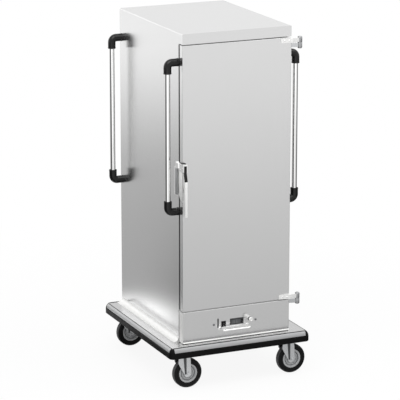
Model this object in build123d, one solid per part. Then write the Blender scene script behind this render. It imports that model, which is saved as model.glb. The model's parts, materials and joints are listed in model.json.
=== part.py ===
"""Heated banquet trolley as separate solids, one STEP file for each named piece.

Millimetres. The floor is z = 0, the front of the trolley faces -Y, its left side is -X.
"""
import os
from math import cos, radians, sin

from build123d import *

# Overall envelope, taken over the bumper and from the floor to the cabinet's top
overall_width = 810.0
overall_depth = 930.0
overall_height = 1890.0

# Fits shared by every piece
sheet = 1.5
running_gap = 0.08
slide_gap = 0.3
curve_gap = 0.3
overcut = 1.0

# Platform and the bumper round it
deck_sheet = 2.0
bumper_reach = 18.0
bumper_height = 56.0
bumper_corner_radius = 24.0
bumper_lip = 4.0
bumper_band_height = 27.0
bumper_nose = 3.0
insert_bulge = 3.6
insert_margin = 0.5
insert_end_gap = 0.6
rail_width = 60.0
rail_height = 40.0
rail_wall = 3.0

# Cabinet body
cabinet_width = 616.0
front_overhang = 44.0
rear_overhang = 4.0
wall_thickness = 30.0
casing_bend = 4.0
header_height = 55.0
header_edge_height = 6.0
back_corner_gap = 1.0
seam = 6.0
gasket_room = 7.0
frame_overlap_top = 35.0
frame_overlap_bottom = 28.0
passage_length = 210.0
passage_width = 210.0
passage_setback = 553.0
grille_slots = 9
grille_margin = 12.0

# Door
door_thickness = 41.0
door_edge_radius = 2.0
gasket_width = 14.0
gasket_inset = 7.0
gasket_chamfer = 2.5
field_height = 6.0
field_lip = 1.0
field_inset = 32.0

# Hinges
hinge_offset = 47.0
hinge_axis_forward = 2.0
barrel_radius = 10.5
knuckle_height = 30.0
hinge_pin_radius = 5.0
hinge_cap = 3.0
hinge_pin_end_gap = 1.0
hinge_leaf_gap = 3.0
hinge_arm_height = 22.0
hinge_arm_thickness = 6.0
hinge_arm_root = 10.0
hinge_arm_tip = 6.0
hinge_plate_forward = 4.0
hinge_plate_reach = 70.0
hinge_side_relief = 0.5
hinge_strap_length = 60.0
hinge_strap_end = 2.0
hinge_strap_bulge = 14.0
hinge_strap_front = 8.0
hinge_strap_rear = 4.0
hinge_top_drop = 29.0
hinge_screw_radius = 4.0
hinge_screw_head = 2.5
hinge_screw_setbacks = (25.0, 55.0)

# Latch
latch_width = 15.0
latch_head_height = 45.0
latch_rise = 752.0
latch_side_thickness = 6.0
latch_boss_depth = 17.0
latch_cheek = 5.0
latch_back = 2.0
latch_edge_radius = 2.5
latch_rear_gap = 3.0
latch_nose_bulge = 4.0
latch_nose_gap = 1.0
latch_nose_reach = 26.0
latch_nose_lift = 14.0
latch_nose_drop = 4.0
latch_pin_forward = 0.5
lever_pin_radius = 4.0
lever_hub_radius = 6.5
lever_grip_length = 190.0
lever_arm_drop = 70.0
lever_arm_front = 5.0
lever_arm_rear = 4.0
lever_arm_step = 3.0
lever_stand_off = 27.0
lever_thickness = 9.0
lever_lap = 1.0
lever_edge_radius = 3.0
lever_tip_radius = 2.0
keeper_height = 150.0
keeper_width = 52.0
keeper_thickness = 3.0
keeper_setback = 5.0
keeper_rise = 12.0
keeper_corner_radius = 5.0
keeper_screw_inset = 14.0
keeper_screw_head = 2.0
strike_thickness = 6.0
strike_inset = 6.0
strike_width = 18.0
strike_length = 64.0
strike_chamfer = 4.0

# Push handles on the two sides
handle_tube_radius = 14.0
handle_tube_bore = 12.0
handle_elbow_radius = 18.0
handle_stand_off = 56.0
handle_bend_radius = 24.0
handle_top_drop = 137.0
handle_keeper_gap = 27.0
handle_elbow_length = 75.0
handle_tube_insertion = 20.0
handle_front_setback = 65.0
handle_rear_setback = 22.0

# Heater drawer
drawer_height = 172.0
drawer_lift = 2.0
drawer_front_depth = 53.0
drawer_rear_gap = 3.0
chassis_length = 690.0
chassis_height = 62.0
chassis_drop = 16.0
chassis_nose_height = 36.0
runner_ledge = 26.0
runner_height = 24.0
runner_sheet = 2.0
runner_front_gap = 2.0

# Control strip on the drawer front
pull_left_x = -96.0
pull_right_x = 63.0
pull_rise = 63.0
pull_reach = 51.0
pull_rod_radius = 5.0
pull_bend_radius = 12.0
pull_tail = 12.0
pull_collar_length = 6.0
pull_collar_lap = 4.0
cutout_gap = 1.0
switch_x = -75.0
switch_rise = 81.0
switch_width = 26.0
switch_height = 38.0
switch_frame_depth = 3.0
switch_chamfer = 1.0
switch_body_inset = 3.0
switch_body_depth = 24.0
switch_room_depth = 16.0
rocker_width = 19.0
rocker_height = 28.0
rocker_travel_gap = 0.4
rocker_tip_room = 1.2
rocker_trim = 1.5
rocker_dip = 1.0
rocker_rise = 5.0
rocker_sunk = 0.5
rocker_heel = 5.0
rocker_pivot_depth = 5.0
rocker_pin_radius = 1.5
rocker_pin_hold = 0.5
display_x = 1.5
display_rise = 91.0
display_width = 77.0
display_height = 33.0
display_depth = 4.0
display_chamfer = 1.5
display_body_inset_x = 4.0
display_body_inset_z = 3.0
display_body_depth = 40.0
window_inset = 6.0
window_key_room = 18.0
window_pocket = 2.0
window_thickness = 1.5
knob_x = 66.0
knob_rise = 103.0
knob_radius = 12.0
knob_length = 40.0
knob_shaft_radius = 3.0
knob_shaft_length = 20.0
knob_shaft_end_gap = 2.0
knob_gap = 1.0
knob_edge_radius = 2.0
knob_mark_width = 1.2
knob_mark_depth = 1.2
knob_mark_length = 12.0
regulator_radius = 14.0
regulator_depth = 18.0
slot_x = -107.0
slot_rise = 92.0
slot_width = 3.0
slot_height = 46.0
left_screw_x = -131.0
right_screw_x = 111.0
panel_screw_rise = 86.0
panel_screw_radius = 6.0
panel_screw_head = 3.2
panel_screw_dome = 2.2
screw_slot_length = 9.0
screw_slot_width = 1.2
screw_slot_depth = 1.2

# Air heater inside the drawer
motor_radius = 45.0
motor_height = 44.0
motor_edge_radius = 5.0
motor_shaft_radius = 5.0
impeller_radius = 76.0
impeller_height = 42.0
impeller_lift = 6.0
impeller_disc = 2.0
impeller_hub_radius = 14.0
impeller_hub_height = 24.0
impeller_blades = 12
blade_thickness = 3.0
blade_length = 22.0
blade_height = 34.0
blade_inset = 14.0
blade_angle = 25.0
heater_tube_radius = 4.5
heater_ring_radius = 96.0
heater_rise = 22.0
heater_open_angle = 20.0
heater_knee_radius = 5.85
water_tray_width = 300.0
water_tray_depth = 190.0
water_tray_height = 44.0
water_tray_setback = 60.0
water_tray_corner = 14.0
water_tray_rim = 8.0

# Tray racks for gastronorm 2/1 trays
tray_depth = 650.0
rack_top_room = 60.0
rack_pitch = 105.0
rack_first_level = 95.0
rack_ledge = 24.0
rack_ledge_leg = 12.0
rack_sheet = 1.5
rack_upright = 10.0
rack_upright_inset = 40.0
rack_setback = 40.0

# Mains inlet on the back panel
inlet_inset = 98.0
inlet_rise = 70.0
inlet_radius = 27.0
inlet_flange = 4.0
inlet_flange_lap = 3.0
inlet_cup_depth = 24.0
inlet_mouth_radius = 20.0
inlet_mouth_depth = 18.0
inlet_pin_radius = 2.5
inlet_pin_circle = 9.5
inlet_pin_root = 6.0
inlet_pin_length = 7.0
inlet_pin_turns = (90, 210, 330)

# Swivel casters
caster_inset_x = 84.0
caster_inset_y = 57.0
caster_trail = 22.0
wheel_radius = 80.0
wheel_width = 38.0
wheel_core_radius = 58.0
wheel_rib_height = 6.0
wheel_rib_width = 12.0
wheel_rim_inset = 1.0
wheel_rim_depth = 11.0
wheel_rim_step = 2.0
wheel_dish = 16.0
wheel_dish_step = 3.0
wheel_web_half = 10.0
hub_radius = 20.0
hub_taper = 4.0
hub_root_half = 12.0
hub_side_gap = 0.5
tyre_shoulder = ((7.0, 0.0), (2.5, 3.0), (0.0, 9.0))
axle_radius = 5.0
fork_leg = 4.0
fork_room = 46.0
fork_crown_half = 34.0
fork_shoulder_front = 40.0
fork_shoulder_rear = 26.0
fork_shoulder_drop = 26.0
fork_eye_half = 17.0
fork_eye_front_lift = 4.0
fork_eye_rear_lift = 2.0
fork_tip_half = 10.0
fork_tip_drop = 14.0
fork_tip_radius = 8.0
axle_head_radius = 9.0
axle_head_height = 6.0
crown_gap = 12.0
swivel_head_height = 18.0
king_pin_radius = 6.0
king_nut_lap = 4.0
king_nut_height = 6.0
race_bottom_radius = 24.0
race_top_radius = 32.0
caster_plate_length = 105.0
caster_plate_width = 85.0
caster_plate_thickness = 4.0
caster_plate_corner = 10.0
caster_bolt_head_radius = 6.4
caster_bolt_head_height = 5.0
caster_bolt_spacing_x = 80.0
caster_bolt_spacing_y = 60.0

# Positions that follow from the sizes above
wheel_z = wheel_radius
fork_crown_z = 2 * wheel_radius + crown_gap
caster_head = fork_crown_z + fork_leg + swivel_head_height
rail_bottom = caster_head + caster_plate_thickness
deck_under = rail_bottom + rail_height
deck_top = deck_under + deck_sheet
half_width = overall_width / 2
half_depth = overall_depth / 2
deck_half_width = half_width - bumper_reach
deck_half_depth = half_depth - bumper_reach
bumper_bottom = deck_top - bumper_height
cabinet_half = cabinet_width / 2
cabinet_front = -deck_half_depth + front_overhang
cabinet_rear = deck_half_depth - rear_overhang
header_bottom = overall_height - header_height
drawer_bottom = deck_top + drawer_lift
drawer_top = deck_top + drawer_height
door_bottom = drawer_top + seam
door_top = header_bottom - seam
door_rear = cabinet_front + door_thickness
frame_front = door_rear + gasket_room
drawer_rear = cabinet_front + drawer_front_depth
casing_inner = cabinet_half - sheet
liner_outer = cabinet_half - wall_thickness + sheet
liner_inner = liner_outer - sheet
liner_top = header_bottom - frame_overlap_top
liner_bottom = door_bottom + frame_overlap_bottom
liner_rear = cabinet_rear - wall_thickness
hinge_x = cabinet_half + hinge_offset
hinge_y = cabinet_front - hinge_axis_forward
hinge_splits = (door_top - hinge_top_drop, door_bottom - hinge_axis_forward)
handle_axis_x = cabinet_half + handle_stand_off
handle_front_y = cabinet_front + handle_front_setback
handle_rear_y = cabinet_rear - handle_rear_setback
runner_front = drawer_rear + drawer_rear_gap + runner_front_gap
runner_top = deck_top + runner_height
chassis_half = liner_inner - runner_ledge
chassis_flange = runner_top + slide_gap
chassis_floor = chassis_flange - chassis_drop
chassis_front = cabinet_front + sheet
passage_y = cabinet_front + passage_setback
latch_head_z = door_bottom + latch_rise
latch_pin_y = cabinet_front - latch_boss_depth / 2 - latch_pin_forward
latch_pin_z = latch_head_z + latch_head_height / 2
handle_top = overall_height - handle_top_drop
keeper_top = latch_head_z + keeper_rise
keeper_bottom = keeper_top - keeper_height
handle_bottom = keeper_bottom - handle_keeper_gap - handle_elbow_length
pull_z = deck_top + pull_rise
switch_z = deck_top + switch_rise
display_z = deck_top + display_rise
knob_z = deck_top + knob_rise
slot_z = deck_top + slot_rise
panel_screw_z = deck_top + panel_screw_rise
rocker_pivot_y = cabinet_front + rocker_pivot_depth
inlet_x = cabinet_half - inlet_inset
inlet_z = deck_top + inlet_rise
motor_top = chassis_floor + sheet + motor_height
rack_room = liner_top - liner_bottom - rack_first_level - rack_top_room
rack_levels = int(rack_room / rack_pitch) + 1
caster_x = deck_half_width - caster_inset_x
caster_y = deck_half_depth - caster_inset_y
caster_places = {
    "front_left": (-caster_x, -caster_y),
    "front_right": (caster_x, -caster_y),
    "rear_left": (-caster_x, caster_y),
    "rear_right": (caster_x, caster_y),
}


def block(x0, x1, y0, y1, z0, z1):
    """A box between two corners."""
    return Pos((x0 + x1) / 2, (y0 + y1) / 2, (z0 + z1) / 2) * Box(x1 - x0, y1 - y0, z1 - z0)


def across(half, y0, y1, z0, z1):
    """A box that lies centred across the trolley."""
    return block(-half, half, y0, y1, z0, z1)


def rod_x(x0, x1, y, z, radius):
    """A round bar along X."""
    return Pos((x0 + x1) / 2, y, z) * Rot(0, 90, 0) * Cylinder(radius, x1 - x0)


def rod_y(x, y0, y1, z, radius):
    """A round bar along Y."""
    return Pos(x, (y0 + y1) / 2, z) * Rot(90, 0, 0) * Cylinder(radius, y1 - y0)


def rod_z(x, y, z0, z1, radius):
    """A round bar along Z."""
    return Pos(x, y, (z0 + z1) / 2) * Cylinder(radius, z1 - z0)


def plan_plate(points, z0, z1):
    """A plate whose outline is given in plan, from one height to another."""
    outline = make_face(Polyline(*points, close=True))
    return Pos(0, 0, z0) * extrude(outline, z1 - z0, dir=(0, 0, 1))


def side_profile_bar(points, x0, x1):
    """A bar along X whose section is given as (y, z) points."""
    outline = make_face(Polyline(*[(0, y, z) for y, z in points], close=True))
    return Pos(x0, 0, 0) * extrude(outline, x1 - x0, dir=(1, 0, 0))


def bent_rod(points, bend, radius):
    """A round rod along a path of straight runs with rounded bends."""
    path = FilletPolyline(*points, radius=bend)
    section = Plane(origin=path @ 0, z_dir=path % 0) * Circle(radius)
    return sweep(section, path=path)


def save(node, *shapes):
    """Writes one node, which may hold several solids."""
    solids = [solid for shape in shapes for solid in shape.solids()]
    whole = solids[0] if len(solids) == 1 else Compound(children=solids)
    whole.label = node
    export_step(whole, f"parts/{node}.step")


def base_tray():
    """Folded platform tray, open below, with a skirt that carries the bumper."""
    outer = across(deck_half_width, -deck_half_depth, deck_half_depth, bumper_bottom, deck_top)
    outer = fillet(outer.edges().filter_by(Axis.Z), bumper_corner_radius - bumper_reach)
    inner = across(deck_half_width - deck_sheet, -deck_half_depth + deck_sheet,
                   deck_half_depth - deck_sheet, bumper_bottom, deck_under)
    return outer - inner


def base_frame():
    """Box-section rails under the tray: two long rails and two cross rails between them."""
    reach = deck_half_depth - deck_sheet
    rails = []
    for sign in (-1, 1):
        middle = sign * caster_x
        rail = block(middle - rail_width, middle + rail_width, -reach, reach, rail_bottom, deck_under)
        hollow = block(middle - rail_width + rail_wall, middle + rail_width - rail_wall, -reach, reach,
                       rail_bottom + rail_wall, deck_under - rail_wall)
        rails.append(rail - hollow)
    clear = caster_x - rail_width
    for place in (-caster_y, caster_y):
        rail = across(clear, place - rail_width / 2, place + rail_width / 2, rail_bottom, deck_under)
        hollow = across(clear, place - rail_width / 2 + rail_wall, place + rail_width / 2 - rail_wall,
                        rail_bottom + rail_wall, deck_under - rail_wall)
        rails.append(rail - hollow)
    return rails


def bumper_outline():
    """Section of the rubber bumper as (outward, z) points, out from the tray's skirt."""
    band_top = bumper_bottom + bumper_band_height
    return [(0, bumper_bottom), (bumper_reach - bumper_nose, bumper_bottom), (bumper_reach,
                                                                              bumper_bottom + bumper_nose),
            (bumper_reach, band_top), (bumper_lip, deck_top), (0, deck_top)]


def insert_outline():
    """Section of the grey cover strip, flat where it lies on the rubber and round outside."""
    band_top = bumper_bottom + bumper_band_height
    low = Vector(bumper_reach, band_top)
    high = Vector(bumper_lip, deck_top)
    along = (high - low).normalized()
    outward = Vector(along.Y, -along.X)
    start = low + along * insert_margin
    finish = high - along * insert_margin
    crown = (start + finish) / 2 + outward * insert_bulge
    return start, crown, finish


def straight_sides():
    """Yields the four straight runs of the bumper as (turn, distance from centre, length)."""
    long_run = overall_depth - 2 * bumper_corner_radius
    short_run = overall_width - 2 * bumper_corner_radius
    return ((0, deck_half_depth, short_run), (90, deck_half_width, long_run), (180, deck_half_depth,
                                                                               short_run), (270,
                                                                                            deck_half_width,
                                                                                            long_run))


def bumper_rubber():
    """Straight rubber runs of the bumper, one for each side."""
    runs = []
    for turn, distance, length in straight_sides():
        section = [(-distance - out, z) for out, z in bumper_outline()]
        runs.append(Rot(0, 0, turn) * side_profile_bar(section, -length / 2, length / 2))
    return runs


def bumper_inserts():
    """Grey cover strips on the shoulder of the bumper, one for each side."""
    start, crown, finish = insert_outline()
    strips = []
    for turn, distance, length in straight_sides():
        points = [(0, -distance - p.X, p.Y) for p in (start, crown, finish)]
        outline = ThreePointArc(*points) + Line(points[2], points[0])
        half = length / 2 - insert_end_gap
        strip = Pos(-half, 0, 0) * extrude(make_face(outline), 2 * half, dir=(1, 0, 0))
        strips.append(Rot(0, 0, turn) * strip)
    return strips


def bumper_corners():
    """Moulded rubber corners that close the bumper, round outside and full height."""
    start, crown, finish = insert_outline()
    shift = bumper_corner_radius - bumper_reach
    edge = bumper_outline()
    low = [(0, 0, bumper_bottom)] + [(out + shift, 0, z) for out, z in edge[1:4]]
    rise = [(p.X + shift, 0, p.Y) for p in (start, crown, finish)]
    top = [(bumper_lip + shift, 0, deck_top), (0, 0, deck_top), (0, 0, bumper_bottom)]
    outline = Polyline(*low, rise[0]) + ThreePointArc(*rise) + Polyline(rise[2], *top)
    quarter = revolve(make_face(outline), Axis.Z, 90)
    tray = across(deck_half_width, -deck_half_depth, deck_half_depth, bumper_bottom - overcut,
                  deck_top + overcut)
    corners = []
    for turn, sx, sy in ((0, 1, 1), (90, -1, 1), (180, -1, -1), (270, 1, -1)):
        centre = Pos(sx * (half_width - bumper_corner_radius), sy * (half_depth - bumper_corner_radius),
                     0)
        corners.append(centre * Rot(0, 0, turn) * quarter - tray)
    return corners


def outer_casing():
    """Bent sheet that makes the two sides and the top, cut back behind the door and the drawer."""
    front = cabinet_front + sheet
    outer = across(cabinet_half, front, cabinet_rear, deck_top, overall_height)
    outer = fillet(outer.edges().filter_by(Axis.Y).group_by(Axis.Z)[-1], casing_bend)
    inner = across(casing_inner, front, cabinet_rear, deck_top, overall_height - sheet)
    inner = fillet(inner.edges().filter_by(Axis.Y).group_by(Axis.Z)[-1], casing_bend - sheet)
    shell = outer - inner
    shell -= across(cabinet_half, front, frame_front, deck_top, header_bottom)
    shell -= across(cabinet_half, front, drawer_rear + drawer_rear_gap, deck_top, drawer_top)
    return shell


def front_header():
    """Folded front panel above the door: a face, a lower return and an upright edge behind it."""
    face = across(cabinet_half, cabinet_front, cabinet_front + sheet, header_bottom, overall_height)
    face = fillet(face.edges().filter_by(Axis.Y).group_by(Axis.Z)[-1], casing_bend)
    sole = across(casing_inner, cabinet_front + sheet, frame_front + sheet, header_bottom,
                  header_bottom + sheet)
    edge = across(casing_inner, frame_front, frame_front + sheet, header_bottom + sheet,
                  header_bottom + sheet + header_edge_height)
    return face + sole + edge


def back_panel():
    """Flat rear sheet inside the casing, with the hole for the mains inlet."""
    corner = casing_bend - sheet + back_corner_gap
    panel = across(casing_inner, cabinet_rear - sheet, cabinet_rear, deck_top, overall_height - sheet)
    panel = chamfer(panel.edges().filter_by(Axis.Y).group_by(Axis.Z)[-1], corner)
    return panel - rod_y(inlet_x, cabinet_rear - 2 * sheet, cabinet_rear + sheet, inlet_z,
                         inlet_radius - inlet_flange_lap)


def inner_liner():
    """Inside box of the cabinet with a flange in front and the air passage cut in its floor."""
    outer = across(liner_outer, frame_front, liner_rear, liner_bottom - sheet, liner_top + sheet)
    inner = across(liner_inner, frame_front - overcut, liner_rear - sheet, liner_bottom, liner_top)
    flange = across(casing_inner, frame_front, frame_front + sheet, drawer_top, header_bottom)
    hole = across(liner_inner, frame_front - overcut, frame_front + 2 * sheet, liner_bottom, liner_top)
    shell = (outer - inner) + (flange - hole)
    return shell - across(passage_width / 2, passage_y - passage_length / 2,
                          passage_y + passage_length / 2, liner_bottom - 2 * sheet, liner_bottom + sheet)


def floor_grille():
    """Slotted plate that lies on the liner's floor over the warm-air passage."""
    half_w = passage_width / 2 + grille_margin
    half_l = passage_length / 2 + grille_margin
    plate = across(half_w, passage_y - half_l, passage_y + half_l, liner_bottom, liner_bottom + sheet)
    pitch = passage_length / grille_slots
    for index in range(grille_slots):
        y = passage_y + (index - (grille_slots - 1) / 2) * pitch
        plate -= across(passage_width / 2, y - pitch / 4, y + pitch / 4, liner_bottom - sheet,
                        liner_bottom + 2 * sheet)
    return plate


def compartment_sides():
    """Two inner side sheets of the heater drawer's compartment."""
    return [block(min(sign * liner_inner, sign * liner_outer), max(sign * liner_inner,
                                                                   sign * liner_outer), runner_front,
                  cabinet_rear - sheet, deck_top, drawer_top) for sign in (-1, 1)]


def drawer_ceiling():
    """Plate over the heater drawer, under the floor insulation, with the air passage cut in it."""
    plate = across(liner_outer, frame_front + sheet, cabinet_rear - sheet, drawer_top, drawer_top + sheet)
    return plate - across(passage_width / 2, passage_y - passage_length / 2,
                          passage_y + passage_length / 2, drawer_top - sheet, drawer_top + 2 * sheet)


def wall_insulation():
    """Insulation slabs between the skins: sides, top, back, header and those round the air passage."""
    front = frame_front + sheet
    rear = cabinet_rear - sheet
    low = drawer_top + sheet
    side_top = overall_height - sheet - casing_bend
    slabs = []
    for x0, x1 in ((-casing_inner, -liner_outer), (liner_outer, casing_inner)):
        slabs.append(block(x0, x1, front, rear, drawer_top, side_top))
        slabs.append(block(x0, x1, runner_front, rear, deck_top, drawer_top))
    slabs.append(across(liner_outer, front, rear, liner_top + sheet, overall_height - sheet))
    slabs.append(across(liner_outer, liner_rear, rear, low, liner_top + sheet))
    slabs.append(across(casing_inner, cabinet_front + sheet, frame_front, header_bottom + sheet,
                        side_top))
    floor = liner_bottom - sheet
    slabs.append(block(-liner_outer, -passage_width / 2, front, liner_rear, low, floor))
    slabs.append(block(passage_width / 2, liner_outer, front, liner_rear, low, floor))
    slabs.append(across(passage_width / 2, front, passage_y - passage_length / 2, low, floor))
    slabs.append(across(passage_width / 2, passage_y + passage_length / 2, liner_rear, low, floor))
    return slabs


def tray_rack(sign):
    """One side rack: three uprights on the liner wall and an angle ledge for every tray level."""
    wall = sign * liner_inner
    inside = wall - sign * rack_upright
    tip = inside - sign * rack_ledge
    y_front = frame_front + rack_setback
    y_rear = y_front + tray_depth
    top = liner_bottom + rack_first_level + rack_pitch * (rack_levels - 1) + rack_upright
    pieces = []
    for y in (y_front + rack_upright_inset, (y_front + y_rear) / 2, y_rear - rack_upright_inset):
        pieces.append(block(min(wall, inside), max(wall, inside), y - rack_upright, y + rack_upright,
                            liner_bottom, top))
    for level in range(rack_levels):
        z = liner_bottom + rack_first_level + level * rack_pitch
        corner = inside - sign * rack_sheet
        ledge = block(min(inside, tip), max(inside, tip), y_front, y_rear, z - rack_sheet, z)
        leg = block(min(inside, corner), max(inside, corner), y_front, y_rear, z - rack_ledge_leg,
                    z - rack_sheet)
        pieces.append(ledge + leg)
    return pieces


def push_handles():
    """Four upright tubes with a black elbow at each end."""
    tubes = []
    elbows = []
    low = handle_bottom + handle_elbow_length - handle_tube_insertion
    high = handle_top - handle_elbow_length + handle_tube_insertion
    deep = 2 * handle_tube_insertion
    for sign in (-1, 1):
        for y in (handle_front_y, handle_rear_y):
            x = sign * handle_axis_x
            tube = rod_z(x, y, low, high, handle_tube_radius)
            tube -= rod_z(x, y, low - overcut, high + overcut, handle_tube_bore)
            tubes.append(tube)
            for end, toward, mouth in ((handle_bottom, 1, low), (handle_top, -1, high - deep)):
                z = end + toward * handle_elbow_radius
                points = [(sign * cabinet_half, y, z), (x, y, z), (x, y,
                                                                   end + toward * handle_elbow_length)]
                elbow = bent_rod(points, handle_bend_radius, handle_elbow_radius)
                socket = rod_z(x, y, mouth, mouth + deep, handle_tube_radius + curve_gap)
                elbows.append(elbow - socket)
    return tubes, elbows


def hinge_fixed(split):
    """Fixed hinge leaf: plate on the cabinet's side, arm to the lower knuckle, and the pin standing in it."""
    high = split - hinge_leaf_gap
    low = high - hinge_arm_height
    face = cabinet_half + hinge_arm_thickness
    plate_front = hinge_y + hinge_plate_forward
    clear = cabinet_half + hinge_side_relief
    plate = block(cabinet_half, face, plate_front, frame_front + hinge_plate_reach, low, high)
    arm = plan_plate([(clear, plate_front), (clear, plate_front + hinge_arm_root), (hinge_x,
                                                                                    hinge_y + hinge_arm_tip),
                      (hinge_x, hinge_y - hinge_arm_tip)], low, high)
    knuckle = rod_z(hinge_x, hinge_y, split - knuckle_height, split, barrel_radius)
    pin_top = split + knuckle_height - hinge_cap - hinge_pin_end_gap
    pin = rod_z(hinge_x, hinge_y, split - knuckle_height, pin_top, hinge_pin_radius)
    relief = block(cabinet_half - overcut, clear, hinge_y, frame_front, low - overcut, high + overcut)
    leaf = plate + arm + knuckle + pin - relief
    for setback in hinge_screw_setbacks:
        leaf += rod_x(face, face + hinge_screw_head, frame_front + setback, (low + high) / 2,
                      hinge_screw_radius)
    return leaf


def hinge_strap(split):
    """Door hinge leaf: a wedge strap on the door's face that carries the upper knuckle."""
    low = split + hinge_leaf_gap
    high = low + hinge_arm_height
    face = cabinet_front
    start = cabinet_half - hinge_strap_length
    strap = plan_plate([(start, face), (start, face - hinge_strap_end), (cabinet_half,
                                                                         face - hinge_strap_bulge),
                        (hinge_x, hinge_y - hinge_strap_front), (hinge_x, hinge_y + hinge_strap_rear),
                        (cabinet_half + hinge_strap_rear, face)], low, high)
    knuckle = rod_z(hinge_x, hinge_y, split + slide_gap, split + knuckle_height, barrel_radius)
    bore = rod_z(hinge_x, hinge_y, split - overcut, split + knuckle_height - hinge_cap,
                 hinge_pin_radius + running_gap)
    return strap + knuckle - bore


def door_outer_skin():
    """Front sheet of the door with its four returns, open to the rear."""
    outer = across(cabinet_half, cabinet_front, door_rear, door_bottom, door_top)
    outer = fillet(outer.faces().sort_by(Axis.Y)[0].edges(), door_edge_radius)
    inner = across(casing_inner, cabinet_front + sheet, door_rear, door_bottom + sheet, door_top - sheet)
    return outer - inner


def door_inner_skin():
    """Rear sheet of the door with a pressed field that stands into the cabinet."""
    rim = field_inset + gasket_inset
    plate = across(casing_inner, door_rear - sheet, door_rear, door_bottom + sheet, door_top - sheet)
    field = across(casing_inner - rim, door_rear - sheet, door_rear + field_height, door_bottom + rim,
                   door_top - rim)
    field = chamfer(field.faces().sort_by(Axis.Y)[-1].edges(), field_height - field_lip)
    hollow = across(casing_inner - rim - field_height, door_rear - 2 * sheet,
                    door_rear + field_height - sheet, door_bottom + rim + field_height,
                    door_top - rim - field_height)
    return plate + field - hollow


def door_insulation():
    """Slab that fills the door between its two sheets."""
    return across(casing_inner, cabinet_front + sheet, door_rear - sheet, door_bottom + sheet,
                  door_top - sheet)


def door_gasket():
    """Rubber seal round the rear of the door, just clear of the cabinet's flange."""
    thick = gasket_room - slide_gap
    half = cabinet_half - gasket_inset
    low = door_bottom + gasket_inset
    high = door_top - gasket_inset
    ring = across(half, door_rear, door_rear + thick, low, high)
    hole = across(half - gasket_width, door_rear - overcut, door_rear + thick + overcut,
                  low + gasket_width, high - gasket_width)
    ring = ring - hole
    return chamfer(ring.faces().sort_by(Axis.Y)[-1].edges(), gasket_chamfer)


def latch_housing():
    """Latch body on the door's left edge, with two cheeks in front for the lever and its pin."""
    side = -cabinet_half
    outer = side - latch_side_thickness
    low = latch_head_z
    high = low + latch_head_height
    front = cabinet_front - latch_boss_depth
    rear = door_rear - latch_rear_gap
    lever_room = side + latch_width + 2 * slide_gap
    body = block(outer, side, front, rear, low, high)
    body = fillet(body.edges().filter_by(Axis.X), latch_edge_radius)
    nose = block(outer - latch_nose_bulge, side - latch_nose_gap, rear, frame_front + latch_nose_reach,
                 low + latch_nose_lift, high - latch_nose_drop)
    cheek = block(side, lever_room + latch_cheek, front, cabinet_front, low, high)
    room = block(side, lever_room, front - overcut, cabinet_front - latch_back, low - overcut,
                 high - latch_cheek)
    pin = rod_x(outer, lever_room + latch_cheek, latch_pin_y, latch_pin_z, lever_pin_radius)
    return body + nose + (cheek - room) + pin


def latch_lever():
    """Cranked lever: a hub on the pin, a slanted arm and an upright grip."""
    x0 = -cabinet_half + slide_gap
    x1 = x0 + latch_width
    hub = rod_x(x0, x1, latch_pin_y, latch_pin_z, lever_hub_radius)
    grip_y = cabinet_front - lever_stand_off
    grip_top = latch_pin_z - lever_arm_drop
    half = lever_thickness / 2
    arm = side_profile_bar([(latch_pin_y - lever_arm_front, latch_pin_z), (latch_pin_y + lever_arm_rear,
                                                                           latch_pin_z - lever_arm_step),
                            (grip_y + half, grip_top), (grip_y - half, grip_top)], x0, x1)
    grip = block(x0, x1, grip_y - half, grip_y + half, grip_top - lever_grip_length, grip_top + lever_lap)
    grip = fillet(grip.edges().filter_by(Axis.Z), lever_edge_radius)
    grip = fillet(grip.faces().sort_by(Axis.Z)[0].edges(), lever_tip_radius)
    bore = rod_x(x0 - overcut, x1 + overcut, latch_pin_y, latch_pin_z, lever_pin_radius + running_gap)
    return hub + arm + grip - bore


def latch_keeper():
    """Keeper plate on the cabinet's left side with a raised strike and two screws."""
    face = -cabinet_half - keeper_thickness
    y0 = frame_front + keeper_setback
    plate = block(face, -cabinet_half, y0, y0 + keeper_width, keeper_bottom, keeper_top)
    plate = fillet(plate.edges().filter_by(Axis.X), keeper_corner_radius)
    strike_top = keeper_top - strike_inset
    strike = block(face - strike_thickness, face, y0 + strike_inset, y0 + strike_inset + strike_width,
                   strike_top - strike_length, strike_top)
    strike = chamfer(strike.edges().filter_by(Axis.Z).group_by(Axis.X)[0], strike_chamfer)
    keeper = plate + strike
    screw_y = y0 + keeper_width - keeper_screw_inset
    for z in (keeper_top - keeper_screw_inset, keeper_bottom + keeper_screw_inset):
        keeper += rod_x(face - keeper_screw_head, face, screw_y, z, hinge_screw_radius)
    return keeper


def drawer_front():
    """Heater drawer front: folded sheet with returns and the cut-outs of the control strip."""
    outer = across(cabinet_half, cabinet_front, drawer_rear, drawer_bottom, drawer_top)
    outer = fillet(outer.faces().sort_by(Axis.Y)[0].edges(), door_edge_radius)
    inner = across(casing_inner, cabinet_front + sheet, drawer_rear, drawer_bottom + sheet,
                   drawer_top - sheet)
    shell = outer - inner
    before = cabinet_front - overcut
    behind = cabinet_front + 2 * sheet
    switch_trim = 2 * (switch_body_inset - cutout_gap)
    display_trim_x = 2 * (display_body_inset_x - cutout_gap)
    display_trim_z = 2 * (display_body_inset_z - cutout_gap)
    cuts = [(switch_x, switch_z, switch_width - switch_trim, switch_height - switch_trim),
            (display_x, display_z, display_width - display_trim_x, display_height - display_trim_z),
            (slot_x, slot_z, slot_width, slot_height)]
    for x, z, width, height in cuts:
        shell -= block(x - width / 2, x + width / 2, before, behind, z - height / 2, z + height / 2)
    shell -= rod_y(knob_x, before, behind, knob_z, knob_shaft_radius + curve_gap)
    for x in (pull_left_x, pull_right_x):
        shell -= rod_y(x, before, behind, pull_z, pull_rod_radius + curve_gap)
    return shell


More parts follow.
